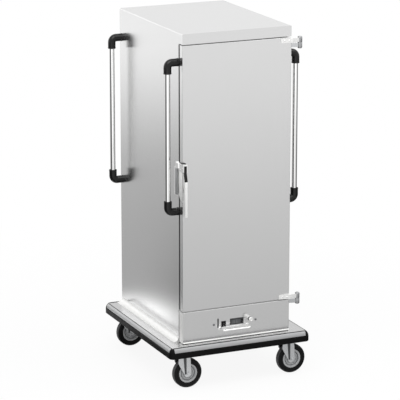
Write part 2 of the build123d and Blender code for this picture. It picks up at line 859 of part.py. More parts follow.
def drawer_chassis():
    """Sheet tray that carries the heater behind the drawer front, with flanges on the runners."""
    rear = chassis_front + chassis_length
    top = chassis_flange + chassis_height
    outer = across(chassis_half, chassis_front, rear, chassis_floor, top)
    inner = across(chassis_half - sheet, chassis_front + sheet, rear - sheet, chassis_floor + sheet, top)
    tray = outer - inner
    tray -= across(chassis_half, chassis_front, drawer_rear, chassis_floor + chassis_nose_height, top)
    for sign in (-1, 1):
        near = sign * chassis_half
        far = sign * (liner_inner - 2 * runner_sheet)
        tray += block(min(near, far), max(near, far), runner_front + seam, rear, chassis_flange,
                      chassis_flange + sheet)
    return tray


def drawer_runners():
    """Two bent ledges on the compartment's side sheets that the drawer chassis slides on."""
    runners = []
    for sign in (-1, 1):
        wall = sign * liner_inner
        edge = sign * (chassis_half + 2 * runner_sheet)
        ledge = block(min(wall, edge), max(wall, edge), runner_front, liner_rear,
                      runner_top - runner_sheet, runner_top)
        back_in = sign * (liner_inner - runner_sheet)
        web = block(min(wall, back_in), max(wall, back_in), runner_front, liner_rear, deck_top,
                    runner_top - runner_sheet)
        runners.append(ledge + web)
    return runners


def fan_parts():
    """Fan motor with its shaft, and the blade wheel on it."""
    body = rod_z(0, passage_y, chassis_floor + sheet, motor_top, motor_radius)
    body = fillet(body.edges().group_by(Axis.Z)[-1], motor_edge_radius)
    motor = body + rod_z(0, passage_y, motor_top, motor_top + impeller_height, motor_shaft_radius)
    low = motor_top + impeller_lift
    wheel = rod_z(0, passage_y, low, low + impeller_disc, impeller_radius)
    wheel += rod_z(0, passage_y, low, low + impeller_hub_height, impeller_hub_radius)
    blade = Rot(0, 0, blade_angle) * Box(blade_thickness, blade_length, blade_height)
    blade = Pos(0, impeller_radius - blade_inset, low + (impeller_disc + blade_height) / 2) * blade
    for index in range(impeller_blades):
        wheel += Pos(0, passage_y, 0) * Rot(0, 0, 360 / impeller_blades * index) * blade
    wheel -= rod_z(0, passage_y, low - overcut, low + impeller_height, motor_shaft_radius + running_gap)
    return motor, wheel


def heating_element():
    """Tubular heater: an open ring round the blade wheel with two feet on the chassis floor."""
    z = motor_top + heater_rise
    ends = []
    for turn in (270 + heater_open_angle, 270 - heater_open_angle):
        ends.append((heater_ring_radius * cos(radians(turn)),
                     passage_y + heater_ring_radius * sin(radians(turn)), z))
    arc = ThreePointArc(ends[0], (0, passage_y + heater_ring_radius, z), ends[1])
    ring = sweep(Plane(origin=arc @ 0, z_dir=arc % 0) * Circle(heater_tube_radius), path=arc)
    for x, y, top in ends:
        ring += Pos(x, y, top) * Sphere(heater_knee_radius)
        ring += rod_z(x, y, chassis_floor + sheet, top, heater_tube_radius)
    return ring


def water_tray():
    """Humidity pan at the front of the drawer chassis, with a rolled rim."""
    y0 = drawer_rear + water_tray_setback
    y1 = y0 + water_tray_depth
    half = water_tray_width / 2
    low = chassis_floor + sheet
    high = low + water_tray_height
    outer = across(half, y0, y1, low, high)
    outer = fillet(outer.edges().filter_by(Axis.Z), water_tray_corner)
    inner = across(half - sheet, y0 + sheet, y1 - sheet, low + sheet, high)
    inner = fillet(inner.edges().filter_by(Axis.Z), water_tray_corner - sheet)
    rim = across(half + water_tray_rim, y0 - water_tray_rim, y1 + water_tray_rim, high - sheet, high)
    rim = fillet(rim.edges().filter_by(Axis.Z), water_tray_corner + water_tray_rim)
    return outer + rim - inner


def pull_handle():
    """Bow handle of the drawer, a bent rod with its two ends through the front sheet and a collar on each."""
    behind = cabinet_front + sheet
    outer = cabinet_front - pull_reach
    points = [(pull_left_x, behind + pull_tail, pull_z), (pull_left_x, outer, pull_z), (pull_right_x,
                                                                                        outer, pull_z),
              (pull_right_x, behind + pull_tail, pull_z)]
    bow = bent_rod(points, pull_bend_radius, pull_rod_radius)
    for x in (pull_left_x, pull_right_x):
        bow += rod_y(x, behind, behind + pull_collar_length, pull_z, pull_rod_radius + pull_collar_lap)
    return bow


def panel_screws():
    """Two dome-headed screws that hold the control chassis behind the drawer front."""
    front = cabinet_front - panel_screw_head
    screws = []
    for x in (left_screw_x, right_screw_x):
        head = rod_y(x, front, cabinet_front, panel_screw_z, panel_screw_radius)
        head = fillet(head.edges().group_by(Axis.Y)[0], panel_screw_dome)
        head -= block(x - screw_slot_length / 2, x + screw_slot_length / 2, front - overcut,
                      front + screw_slot_depth, panel_screw_z - screw_slot_width / 2,
                      panel_screw_z + screw_slot_width / 2)
        screws.append(head)
    return screws


def controller_parts():
    """Bezel of the digital thermostat and the dark window set into it."""
    left = display_x - display_width / 2
    right = display_x + display_width / 2
    low = display_z - display_height / 2
    high = display_z + display_height / 2
    front = cabinet_front - display_depth
    bezel = block(left, right, front, cabinet_front, low, high)
    bezel = chamfer(bezel.faces().sort_by(Axis.Y)[0].edges(), display_chamfer)
    body = block(left + display_body_inset_x, right - display_body_inset_x, cabinet_front,
                 cabinet_front + display_body_depth, low + display_body_inset_z,
                 high - display_body_inset_z)
    floor = front + window_pocket
    pocket, window = [block(left + window_inset, right - window_key_room, face, floor, low + window_inset,
                            high - window_inset) for face in (front - overcut, floor - window_thickness)]
    return bezel + body - pocket, window


def switch_parts():
    """Frame of the mains switch and the rocker that tips in it on a small pin."""
    half_w = switch_width / 2
    half_h = switch_height / 2
    front = cabinet_front - switch_frame_depth
    frame = block(switch_x - half_w, switch_x + half_w, front, cabinet_front, switch_z - half_h,
                  switch_z + half_h)
    frame = chamfer(frame.faces().sort_by(Axis.Y)[0].edges(), switch_chamfer)
    body_w = half_w - switch_body_inset
    body_h = half_h - switch_body_inset
    body = block(switch_x - body_w, switch_x + body_w, cabinet_front, cabinet_front + switch_body_depth,
                 switch_z - body_h, switch_z + body_h)
    room_w = rocker_width / 2 + rocker_travel_gap
    room_h = rocker_height / 2 + rocker_tip_room
    room = block(switch_x - room_w, switch_x + room_w, front - overcut, cabinet_front + switch_room_depth,
                 switch_z - room_h, switch_z + room_h)
    pin_end = room_w + rocker_pin_hold
    pin = rod_x(switch_x - pin_end, switch_x + pin_end, rocker_pivot_y, switch_z, rocker_pin_radius)
    tip = rocker_height / 2 - rocker_trim
    points = [(front - rocker_dip, switch_z), (front - rocker_rise, switch_z + tip), (rocker_pivot_y,
                                                                                      switch_z + tip),
              (rocker_pivot_y + rocker_heel, switch_z), (rocker_pivot_y, switch_z - tip),
              (front + rocker_sunk, switch_z - tip)]
    rocker = side_profile_bar(points, switch_x - rocker_width / 2, switch_x + rocker_width / 2)
    rocker -= rod_x(switch_x - room_w, switch_x + room_w, rocker_pivot_y, switch_z,
                    rocker_pin_radius + running_gap)
    return frame + body - room + pin, rocker


def regulator_parts():
    """Regulator behind the drawer front with its shaft, and the turned knob on the shaft."""
    behind = cabinet_front + sheet
    shaft_end = cabinet_front - knob_shaft_length
    body = rod_y(knob_x, behind, behind + regulator_depth, knob_z, regulator_radius)
    shaft = rod_y(knob_x, shaft_end, behind + regulator_depth, knob_z, knob_shaft_radius)
    near = cabinet_front - knob_gap
    far = near - knob_length
    knob = rod_y(knob_x, far, near, knob_z, knob_radius)
    knob = fillet(knob.edges().group_by(Axis.Y)[0], knob_edge_radius)
    knob -= rod_y(knob_x, shaft_end - knob_shaft_end_gap, near + overcut, knob_z,
                  knob_shaft_radius + running_gap)
    knob -= block(knob_x - knob_mark_width / 2, knob_x + knob_mark_width / 2, far - overcut,
                  far + knob_mark_length, knob_z + knob_radius - knob_mark_depth,
                  knob_z + knob_radius + overcut)
    return body + shaft, knob


def mains_inlet():
    """Appliance inlet in the back panel: flange, cup and three contact pins."""
    face = cabinet_rear + inlet_flange
    floor = face - inlet_mouth_depth
    flange = rod_y(inlet_x, cabinet_rear, face, inlet_z, inlet_radius)
    cup = rod_y(inlet_x, cabinet_rear - inlet_cup_depth, cabinet_rear + overcut, inlet_z,
                inlet_radius - inlet_flange_lap - curve_gap)
    inlet = flange + cup - rod_y(inlet_x, floor, face + overcut, inlet_z, inlet_mouth_radius)
    for turn in inlet_pin_turns:
        x = inlet_x + inlet_pin_circle * cos(radians(turn))
        z = inlet_z + inlet_pin_circle * sin(radians(turn))
        inlet += rod_y(x, floor - inlet_pin_root, floor + inlet_pin_length, z, inlet_pin_radius)
    return inlet


def caster_plate():
    """Top plate of a caster with its swivel head and king pin, about the swivel axis."""
    half_l = caster_plate_length / 2
    half_w = caster_plate_width / 2
    plate = across(half_l, -half_w, half_w, caster_head, rail_bottom)
    plate = fillet(plate.edges().filter_by(Axis.Z), caster_plate_corner)
    race_bottom = fork_crown_z + fork_leg + slide_gap
    race = Pos(0, 0, race_bottom) * Cone(race_bottom_radius, race_top_radius, caster_head - race_bottom,
                                         align=(Align.CENTER, Align.CENTER, Align.MIN))
    pin_bottom = fork_crown_z - king_nut_height
    pin = rod_z(0, 0, pin_bottom, caster_head, king_pin_radius)
    nut = rod_z(0, 0, pin_bottom, fork_crown_z - slide_gap, king_pin_radius + king_nut_lap)
    return plate + race + pin + nut


def caster_bolts():
    """Hexagon heads of the four bolts that hold a caster plate."""
    bolts = []
    for x in (-caster_bolt_spacing_x / 2, caster_bolt_spacing_x / 2):
        for y in (-caster_bolt_spacing_y / 2, caster_bolt_spacing_y / 2):
            head = extrude(RegularPolygon(caster_bolt_head_radius, 6), caster_bolt_head_height)
            bolts.append(Pos(x, y, caster_head - caster_bolt_head_height) * head)
    return bolts


def caster_fork():
    """Pressed fork with two legs down to the axle, and the axle bolt through them."""
    inside = fork_room / 2
    outside = inside + fork_leg
    crown_top = fork_crown_z + fork_leg
    shoulder = fork_crown_z - fork_shoulder_drop
    tip = wheel_z - fork_tip_drop
    outline = [(-fork_crown_half, crown_top), (fork_crown_half, crown_top), (fork_shoulder_front,
                                                                             shoulder),
               (caster_trail + fork_eye_half, wheel_z + fork_eye_front_lift),
               (caster_trail + fork_tip_half, tip), (caster_trail - fork_tip_half, tip),
               (caster_trail - fork_eye_half, wheel_z + fork_eye_rear_lift), (-fork_shoulder_rear,
                                                                              shoulder)]
    face = make_face(Polyline(*[(x, 0, z) for x, z in outline], close=True))
    face = fillet(face.vertices().sort_by(Axis.Z)[:2], fork_tip_radius)
    leg = extrude(face, fork_leg, dir=(0, 1, 0))
    crown = across(fork_crown_half, -inside, inside, fork_crown_z, crown_top)
    fork = crown + Pos(0, inside, 0) * leg + Pos(0, -outside, 0) * leg
    fork -= rod_z(0, 0, fork_crown_z - overcut, crown_top + overcut, king_pin_radius + running_gap)
    axle_end = outside + axle_head_height
    fork += rod_y(caster_trail, -axle_end, axle_end, wheel_z, axle_radius)
    head = Rot(-90, 0, 0) * extrude(RegularPolygon(axle_head_radius, 6), axle_head_height)
    for y in (-axle_end, outside):
        fork += Pos(caster_trail, y, wheel_z) * head
    return fork


def ring_profile(points):
    """Turns an (outward, along) outline into a body of revolution about the Y axis."""
    outline = make_face(Polyline(*[(r, y, 0) for r, y in points], close=True))
    return revolve(outline, Axis.Y, 360)


def wheel_core():
    """Wheel centre: a hub, a dished web with a ring groove and a rim with a rib for the tyre."""
    hub = fork_room / 2 - hub_side_gap
    rim = wheel_width / 2 - wheel_rim_inset
    rib = wheel_rib_width / 2
    dish = wheel_core_radius - wheel_dish
    right = [(axle_radius + running_gap, hub), (hub_radius - hub_taper, hub), (hub_radius, hub_root_half),
             (dish, wheel_web_half), (dish + wheel_dish_step, rim - wheel_rim_step),
             (wheel_core_radius - wheel_rim_depth, rim), (wheel_core_radius, rim), (wheel_core_radius,
                                                                                    rib),
             (wheel_core_radius + wheel_rib_height, rib)]
    left = [(radius, -along) for radius, along in reversed(right)]
    return ring_profile(right + left)


def wheel_tyre():
    """Rubber tyre on the rib of the wheel centre, with rounded shoulders."""
    half = wheel_width / 2
    rib = wheel_rib_width / 2
    inner = wheel_core_radius + curve_gap
    groove = wheel_core_radius + wheel_rib_height + curve_gap
    right = [(groove, rib), (inner, rib), (inner, half)]
    right += [(wheel_radius - drop, half - inset) for drop, inset in tyre_shoulder]
    left = [(radius, -along) for radius, along in reversed(right)]
    return ring_profile(right + left)


def main():
    """Builds every node and writes its STEP file."""
    os.makedirs("parts", exist_ok=True)
    save("base_tray", base_tray())
    save("base_frame", *base_frame())
    save("bumper_rubber", *bumper_rubber())
    save("bumper_inserts", *bumper_inserts())
    save("bumper_corners", *bumper_corners())
    save("outer_casing", outer_casing())
    save("front_header", front_header())
    save("back_panel", back_panel())
    save("inner_liner", inner_liner())
    save("floor_grille", floor_grille())
    save("drawer_ceiling", drawer_ceiling())
    save("compartment_sides", *compartment_sides())
    save("wall_insulation", *wall_insulation())
    save("left_tray_rack", *tray_rack(-1))
    save("right_tray_rack", *tray_rack(1))
    tubes, elbows = push_handles()
    save("push_handle_tubes", *tubes)
    save("push_handle_elbows", *elbows)
    top_split, bottom_split = hinge_splits
    save("top_hinge_bracket", hinge_fixed(top_split))
    save("bottom_hinge_bracket", hinge_fixed(bottom_split))
    save("latch_keeper", latch_keeper())
    save("mains_inlet", mains_inlet())
    save("drawer_runners", *drawer_runners())
    save("door_outer_skin", door_outer_skin())
    save("door_inner_skin", door_inner_skin())
    save("door_insulation", door_insulation())
    save("door_gasket", door_gasket())
    save("top_hinge_strap", hinge_strap(top_split))
    save("bottom_hinge_strap", hinge_strap(bottom_split))
    save("latch_housing", latch_housing())
    save("latch_lever", latch_lever())
    save("drawer_front", drawer_front())
    save("drawer_chassis", drawer_chassis())
    motor, wheel = fan_parts()
    save("fan_motor", motor)
    save("fan_impeller", wheel)
    save("heating_element", heating_element())
    save("water_tray", water_tray())
    save("pull_handle", pull_handle())
    save("panel_screws", *panel_screws())
    bezel, window = controller_parts()
    save("controller_bezel", bezel)
    save("controller_window", window)
    frame, rocker = switch_parts()
    save("switch_frame", frame)
    save("switch_rocker", rocker)
    regulator, knob = regulator_parts()
    save("regulator_body", regulator)
    save("regulator_knob", knob)
    save("caster_plates", *[Pos(x, y, 0) * caster_plate() for x, y in caster_places.values()])
    save("caster_bolts", *[Pos(x, y, 0) * bolt for x,
                           y in caster_places.values() for bolt in caster_bolts()])
    for name, (x, y) in caster_places.items():
        save(f"caster_fork_{name}", Pos(x, y, 0) * caster_fork())
        save(f"wheel_core_{name}", Pos(x + caster_trail, y, wheel_z) * wheel_core())
        save(f"wheel_tyre_{name}", Pos(x + caster_trail, y, wheel_z) * wheel_tyre())


if __name__ == "__main__":
    main()
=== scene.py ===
"""Dresses the heated banquet trolley: its finishes, its fine pieces, the studio and the camera."""
import json
import logging
import math
from dataclasses import dataclass
from enum import Enum

import bmesh
import bpy
from mathutils import Matrix, Vector


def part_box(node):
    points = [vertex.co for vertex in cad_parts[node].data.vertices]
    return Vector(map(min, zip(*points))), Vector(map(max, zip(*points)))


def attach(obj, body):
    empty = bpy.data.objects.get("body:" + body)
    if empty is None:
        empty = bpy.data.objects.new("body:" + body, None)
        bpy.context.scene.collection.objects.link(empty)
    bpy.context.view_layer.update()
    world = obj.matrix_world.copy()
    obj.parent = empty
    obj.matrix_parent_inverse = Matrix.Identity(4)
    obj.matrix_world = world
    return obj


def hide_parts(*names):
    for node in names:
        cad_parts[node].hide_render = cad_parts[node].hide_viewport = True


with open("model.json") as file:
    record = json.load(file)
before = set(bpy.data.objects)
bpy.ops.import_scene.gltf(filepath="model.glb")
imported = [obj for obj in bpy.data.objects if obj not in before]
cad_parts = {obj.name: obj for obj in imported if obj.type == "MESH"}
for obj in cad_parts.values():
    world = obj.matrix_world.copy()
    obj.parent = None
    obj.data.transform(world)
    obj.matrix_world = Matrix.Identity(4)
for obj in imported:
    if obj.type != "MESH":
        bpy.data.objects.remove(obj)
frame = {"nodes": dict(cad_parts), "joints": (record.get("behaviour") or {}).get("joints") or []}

LOG = logging.getLogger("trolley")
MM = 0.001
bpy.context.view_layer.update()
CORNERS = ("front_left", "front_right", "rear_left", "rear_right")
RIGHT_ANGLE = math.pi / 2

Pair = tuple[float, float]
Triple = tuple[float, float, float]
Outline = tuple[Pair, ...] | list[Pair]
Mesh = bmesh.types.BMesh
Edges = list[bmesh.types.BMEdge]
Tree = bpy.types.NodeTree
Socket = bpy.types.NodeSocket


def aimed(spot: Triple | Vector, way: Triple | Vector) -> Matrix:
    """Gives the matrix that lays a shape's Z axis along a direction at a spot."""
    return Matrix.Translation(spot) @ Vector(way).to_track_quat("Z", "Y").to_matrix().to_4x4()


def box_mm(node: str) -> tuple[Vector, Vector]:
    """Gives the lowest and the highest corner of a CAD node in millimetres."""
    low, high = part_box(node)
    return low / MM, high / MM


def mirrored(half: Outline) -> Outline:
    """Closes the upper half of a ring's section with its mirror image below."""
    return [*half, *((radius, -height) for radius, height in reversed(half))]


def about(middle: float, half: float) -> Pair:
    """Gives the two ends of a span round its middle."""
    return middle - half, middle + half


def moved(span: Pair, shift: float) -> Pair:
    """Gives a span after a move along its axis."""
    return span[0] + shift, span[1] + shift


def inset(low: float, high: float, by: float) -> Pair:
    """Gives a span with both ends drawn in."""
    return low + by, high - by


class Along(Enum):
    """The direction that a turned shape is laid along."""

    RIGHT = (1.0, 0.0, 0.0)
    LEFT = (-1.0, 0.0, 0.0)
    BACK = (0.0, 1.0, 0.0)
    FRONT = (0.0, -1.0, 0.0)
    UP = (0.0, 0.0, 1.0)
    DOWN = (0.0, 0.0, -1.0)

    def place(self, x: float, y: float, z: float) -> Matrix:
        """Gives the matrix that lays a shape's Z axis this way at a point in millimetres."""
        return aimed((x, y, z), self.value)


def linear(colour: str) -> tuple[float, float, float, float]:
    """Turns an sRGB hex colour into linear channels.

    Args:
        colour: Six hex digits after a hash sign.

    Returns:
        Red, green, blue and an alpha of 1.
    """
    channels = [int(colour[start:start + 2], 16) / 255 for start in (1, 3, 5)]
    return (*[c / 12.92 if c <= 0.04045 else ((c + 0.055) / 1.055) ** 2.4 for c in channels], 1.0)


def feed(tree: Tree, node: bpy.types.Node, inputs: dict) -> None:
    """Sets a node's inputs.

    Args:
        tree: The node tree that holds the node.
        node: The node.
        inputs: Socket name or number to a value, or to the output that feeds it.
    """
    for key, value in inputs.items():
        if isinstance(value, Socket):
            tree.links.new(value, node.inputs[key])
        else:
            node.inputs[key].default_value = value


def add_node(tree: Tree, kind: str, inputs: dict | None = None, **settings) -> bpy.types.Node:
    """Adds one shader node with its settings and links.

    Args:
        tree: The node tree that gets the node.
        kind: Blender's name of the node type.
        inputs: Socket name or number to a value, or to the output that feeds it.
        **settings: Attributes of the node.

    Returns:
        The new node.
    """
    node = tree.nodes.new(kind)
    for key, value in settings.items():
        setattr(node, key, value)
    feed(tree, node, inputs or {})
    return node


def linked(name: str, data: bpy.types.ID) -> bpy.types.Object:
    """Makes an object and links it to the scene.

    Args:
        name: Name of the object.
        data: Its mesh, lamp or camera.

    Returns:
        The object.
    """
    made = bpy.data.objects.new(name, data)
    bpy.context.scene.collection.objects.link(made)
    return made


@dataclass(frozen=True)
class Finish:
    """A surface finish: fixed shader values under a fine pattern of two tones.

    Attributes:
        name: The material's name, after the real material.
        slot: The record's material slot that it stands for; not used by the script.
        tone: Main sRGB colour.
        other: Second sRGB colour, where the pattern is strongest.
        roughness: Roughness in the middle of the pattern.
        spread: How far the pattern moves the roughness each way.
        grain_mm: Size of the pattern along X, Y and Z.
        relief_mm: Height of the pattern as bump.
        metallic: 1 for bare metal, 0 for the rest.
        ior: Index of refraction, left alone on a metal.
        specular: Level of the surface gloss, lower on a dull rough skin.
        coat: Weight of a clear gloss layer.
    """

    name: str
    slot: str
    tone: str
    other: str
    roughness: float
    spread: float
    grain_mm: Triple
    relief_mm: float = 0.0
    metallic: float = 0.0
    ior: float = 1.5
    specular: float = 0.5
    coat: float = 0.0

    def noise(self, tree: Tree, grain_mm: Triple) -> Socket:
        """Adds a noise on the piece's own coordinates.

        Args:
            tree: The material's node tree.
            grain_mm: Size of the pattern along X, Y and Z.

        Returns:
            The noise's value socket.
        """
        coords = add_node(tree, "ShaderNodeTexCoord")
        scaled = add_node(tree, "ShaderNodeMapping",
                          {"Vector": coords.outputs["Object"], "Scale": [1 / (size * MM) for size in grain_mm]})
        return add_node(tree, "ShaderNodeTexNoise", {"Vector": scaled.outputs["Vector"], "Scale": 1.0, "Detail": 3.0,
                                                     "Roughness": 0.55}).outputs["Fac"]

    def pattern(self, tree: Tree) -> Socket:
        """Gives the pattern's value, about 0.5 in the middle."""
        return self.noise(tree, self.grain_mm)

    def material(self) -> bpy.types.Material:
        """Makes the material the first time, and gives the same one after that."""
        found = bpy.data.materials.get(self.name)
        if found is not None:
            return found
        made = bpy.data.materials.new(self.name)
        made.use_nodes = True
        tree = made.node_tree
        value = self.pattern(tree)
        tones = add_node(tree, "ShaderNodeMix", {0: value, 6: linear(self.tone), 7: linear(self.other)},
                         data_type="RGBA")
        rough = add_node(tree, "ShaderNodeMapRange",
                         {"Value": value, "From Min": 0.25, "From Max": 0.75,
                          "To Min": self.roughness - self.spread, "To Max": self.roughness + self.spread})
        inputs = {"Base Color": tones.outputs[2], "Roughness": rough.outputs["Result"], "Metallic": self.metallic,
                  "Specular IOR Level": self.specular, "Coat Weight": self.coat}
        if not self.metallic:
            inputs["IOR"] = self.ior
        if self.relief_mm:
            bump = add_node(tree, "ShaderNodeBump", {"Height": value, "Strength": 1.0, "Distance": self.relief_mm * MM})
            inputs["Normal"] = bump.outputs["Normal"]
        feed(tree, tree.nodes["Principled BSDF"], inputs)
        return made


@dataclass(frozen=True)
class BrushedSheet(Finish):
    """Brushed steel: long fine streaks, with a slow change of tone over the sheet.

    Attributes:
        metallic: 1, because it is always bare metal.
        cloud_mm: Size of the slow change.
        cloud_share: How much of the pattern is the slow change.
    """

    metallic: float = 1.0
    cloud_mm: float = 420.0
    cloud_share: float = 0.45

    def pattern(self, tree: Tree) -> Socket:
        """Gives the streaks mixed with the slow change."""
        streaks, cloud = self.noise(tree, self.grain_mm), self.noise(tree, (self.cloud_mm,) * 3)
        return add_node(tree, "ShaderNodeMix", {0: self.cloud_share, 2: streaks, 3: cloud}).outputs[0]


class Finishes:
    """Every finish of the trolley. Streaks finer than a millimetre are drawn about 2 mm wide so that they show."""

    # Stainless sheet brushed upright: satin, it blurs what it mirrors into soft bands
    SHEET = BrushedSheet("stainless_brushed_upright", "brushed_stainless", "#DDDDDD", "#D7D7D7", 0.23, 0.02,
                         (2.2, 2.2, 260.0))
    # The same sheet brushed from front to back, as on the platform, floors and ledges: a little darker, which is
    # painted shade on these flat faces
    FLAT_SHEET = BrushedSheet("stainless_brushed_lengthwise_shaded", "brushed_stainless", "#C4C4C4", "#BFBFBF", 0.27, 0.015,
                              (2.2, 260.0, 2.2))
    # Drawn and polished steel: near mirror, with faint hairlines along it
    POLISHED = BrushedSheet("steel_polished", "polished_steel", "#F4F4F3", "#EAEAEA", 0.1, 0.02, (1.6, 1.6, 90.0),
                            cloud_mm=60.0)
    # Satin steel of the lever's grip, the hinge straps and the knob: white and soft, with no sharp reflections
    SATIN = BrushedSheet("steel_satin_bright", "polished_steel", "#F6F6F5", "#EEEEED", 0.6, 0.03, (1.6, 1.6, 60.0),
                         cloud_mm=60.0)
    # Bright zinc plate: a little mottled and duller than the polished steel
    ZINC = Finish("steel_zinc_plated", "zinc_steel", "#D4D5D6", "#BFC1C3", 0.27, 0.06, (9.0, 9.0, 9.0), metallic=1.0)
    # Browned screw steel: mid grey, with a dull sheen
    BROWNED = Finish("steel_browned", "polished_steel", "#8A8B8C", "#747576", 0.4, 0.06, (2.0, 2.0, 2.0), metallic=1.0)
    # Dull dark zinc: painted shade, standing for the deep valley inside each fork leg and for the joints beside the
    # drawer front
    SHADE_ZINC = Finish("steel_zinc_painted_shade", "zinc_steel", "#5E5F60", "#4C4D4E", 0.5, 0.06, (6.0, 6.0, 6.0), metallic=1.0)
    # Die-cast zinc of the hinge sleeves and the keeper's cover: mid grey with a soft sheen, partly the zinc's own
    # duller grey and partly painted shade that keeps it darker than the bright steel beside it
    SHADED_DIE_CAST = Finish("zinc_die_cast_shaded", "polished_steel", "#AEAFB0", "#A0A1A2", 0.45, 0.05, (3.0, 3.0, 3.0),
                      metallic=1.0)
    # Powder paint on the frame: even grey with a fine orange peel
    PAINT = Finish("steel_powder_painted", "painted_frame", "#6E7072", "#646668", 0.5, 0.05, (3.0, 3.0, 3.0), 0.05)
    # Extruded black rubber: matte, with a soft bloom in places
    RUBBER = Finish("rubber_extruded_black", "black_rubber", "#040404", "#0A0A0A", 0.5, 0.08, (22.0, 22.0, 22.0), 0.03,
                    ior=1.52, specular=0.1)
    # Sponge rubber of the door seal: dull, black in the gap
    SEAL = Finish("rubber_sponge_seal", "black_rubber", "#0E0E0E", "#181818", 0.8, 0.05, (4.0, 4.0, 4.0), 0.08,
                  ior=1.52, specular=0.25)
    # Extruded soft vinyl of the cover strips: satin grey, drawn out along each side
    VINYL = Finish("vinyl_extruded_grey", "grey_cover_strip", "#BABBBC", "#AEAFB0", 0.32, 0.05, (30.0, 30.0, 4.0), 0.02,
                   coat=0.3)
    # Moulded black nylon: satin with a fine spark-eroded grain
    NYLON = Finish("nylon_moulded_black", "black_plastic", "#040404", "#080809", 0.24, 0.06, (1.8, 1.8, 1.8), 0.03,
                   specular=0.36)
    # Dark grey ABS of the thermostat's bezel: a finer and softer grain
    ABS = Finish("abs_moulded_dark_grey", "black_plastic", "#2C2D2F", "#353638", 0.42, 0.05, (1.8, 1.8, 1.8), 0.03,
                 specular=0.35)
    # Tinted acrylic window: grey, with a clear glossy face
    WINDOW = Finish("acrylic_tinted_window", "dark_window", "#5C5E60", "#525456", 0.12, 0.03, (12.0, 12.0, 12.0),
                    ior=1.49, coat=0.5)
    # Unlit digit segments under the window: a shade paler than it
    SEGMENT = Finish("ink_segment_grey", "dark_window", "#75787A", "#6C6F71", 0.4, 0.04, (3.0, 3.0, 3.0))
    # Pale ink of the marks on the rocker
    PRINT = Finish("ink_printed_pale", "dark_window", "#B9BBBC", "#ADAFB0", 0.5, 0.04, (3.0, 3.0, 3.0))
    # Moulded polyamide wheel centre: plain pale grey, slightly satin
    POLYAMIDE = Finish("polyamide_moulded_grey", "grey_wheel_core", "#D3D4D5", "#C6C8C9", 0.3, 0.06, (7.0, 7.0, 7.0),
                       0.03)
    # Black tyre rubber: dull, scuffed a little by the floor
    TYRE = Finish("rubber_tyre_black", "grey_tyre", "#0A0A0A", "#121213", 0.5, 0.1, (14.0, 14.0, 14.0), 0.06, ior=1.52,
                  specular=0.16)
    # The tread of the same tyres: greyed by dust and wear
    TREAD = Finish("rubber_tread_worn", "grey_tyre", "#626263", "#505051", 0.6, 0.1, (14.0, 14.0, 14.0), 0.06, ior=1.52,
                   specular=0.35)
    # Pressed mineral wool: yellowish fibres, fully dull
    WOOL = Finish("mineral_wool_pressed", "mineral_wool", "#B9AC86", "#97895F", 0.95, 0.04, (5.0, 14.0, 5.0), 0.6)
    # Heater tube of steel after long use: brown and blue heat tint
    HEATER = Finish("steel_heat_tinted", "heater_tube", "#7A6A58", "#565C66", 0.4, 0.08, (18.0, 18.0, 18.0),
                    metallic=1.0)
    # Sand-cast aluminium of the motor: pale, with a grainy skin
    CASTING = Finish("aluminium_cast", "motor_casting", "#B4B6B7", "#9FA1A3", 0.55, 0.08, (2.4, 2.4, 2.4), 0.12,
                     metallic=1.0)
    # Rolled aluminium of the fan blades: satin and a little streaky
    ALUMINIUM = Finish("aluminium_rolled", "fan_aluminium", "#D2D4D5", "#C4C6C8", 0.32, 0.06, (3.0, 30.0, 3.0),
                       metallic=1.0)


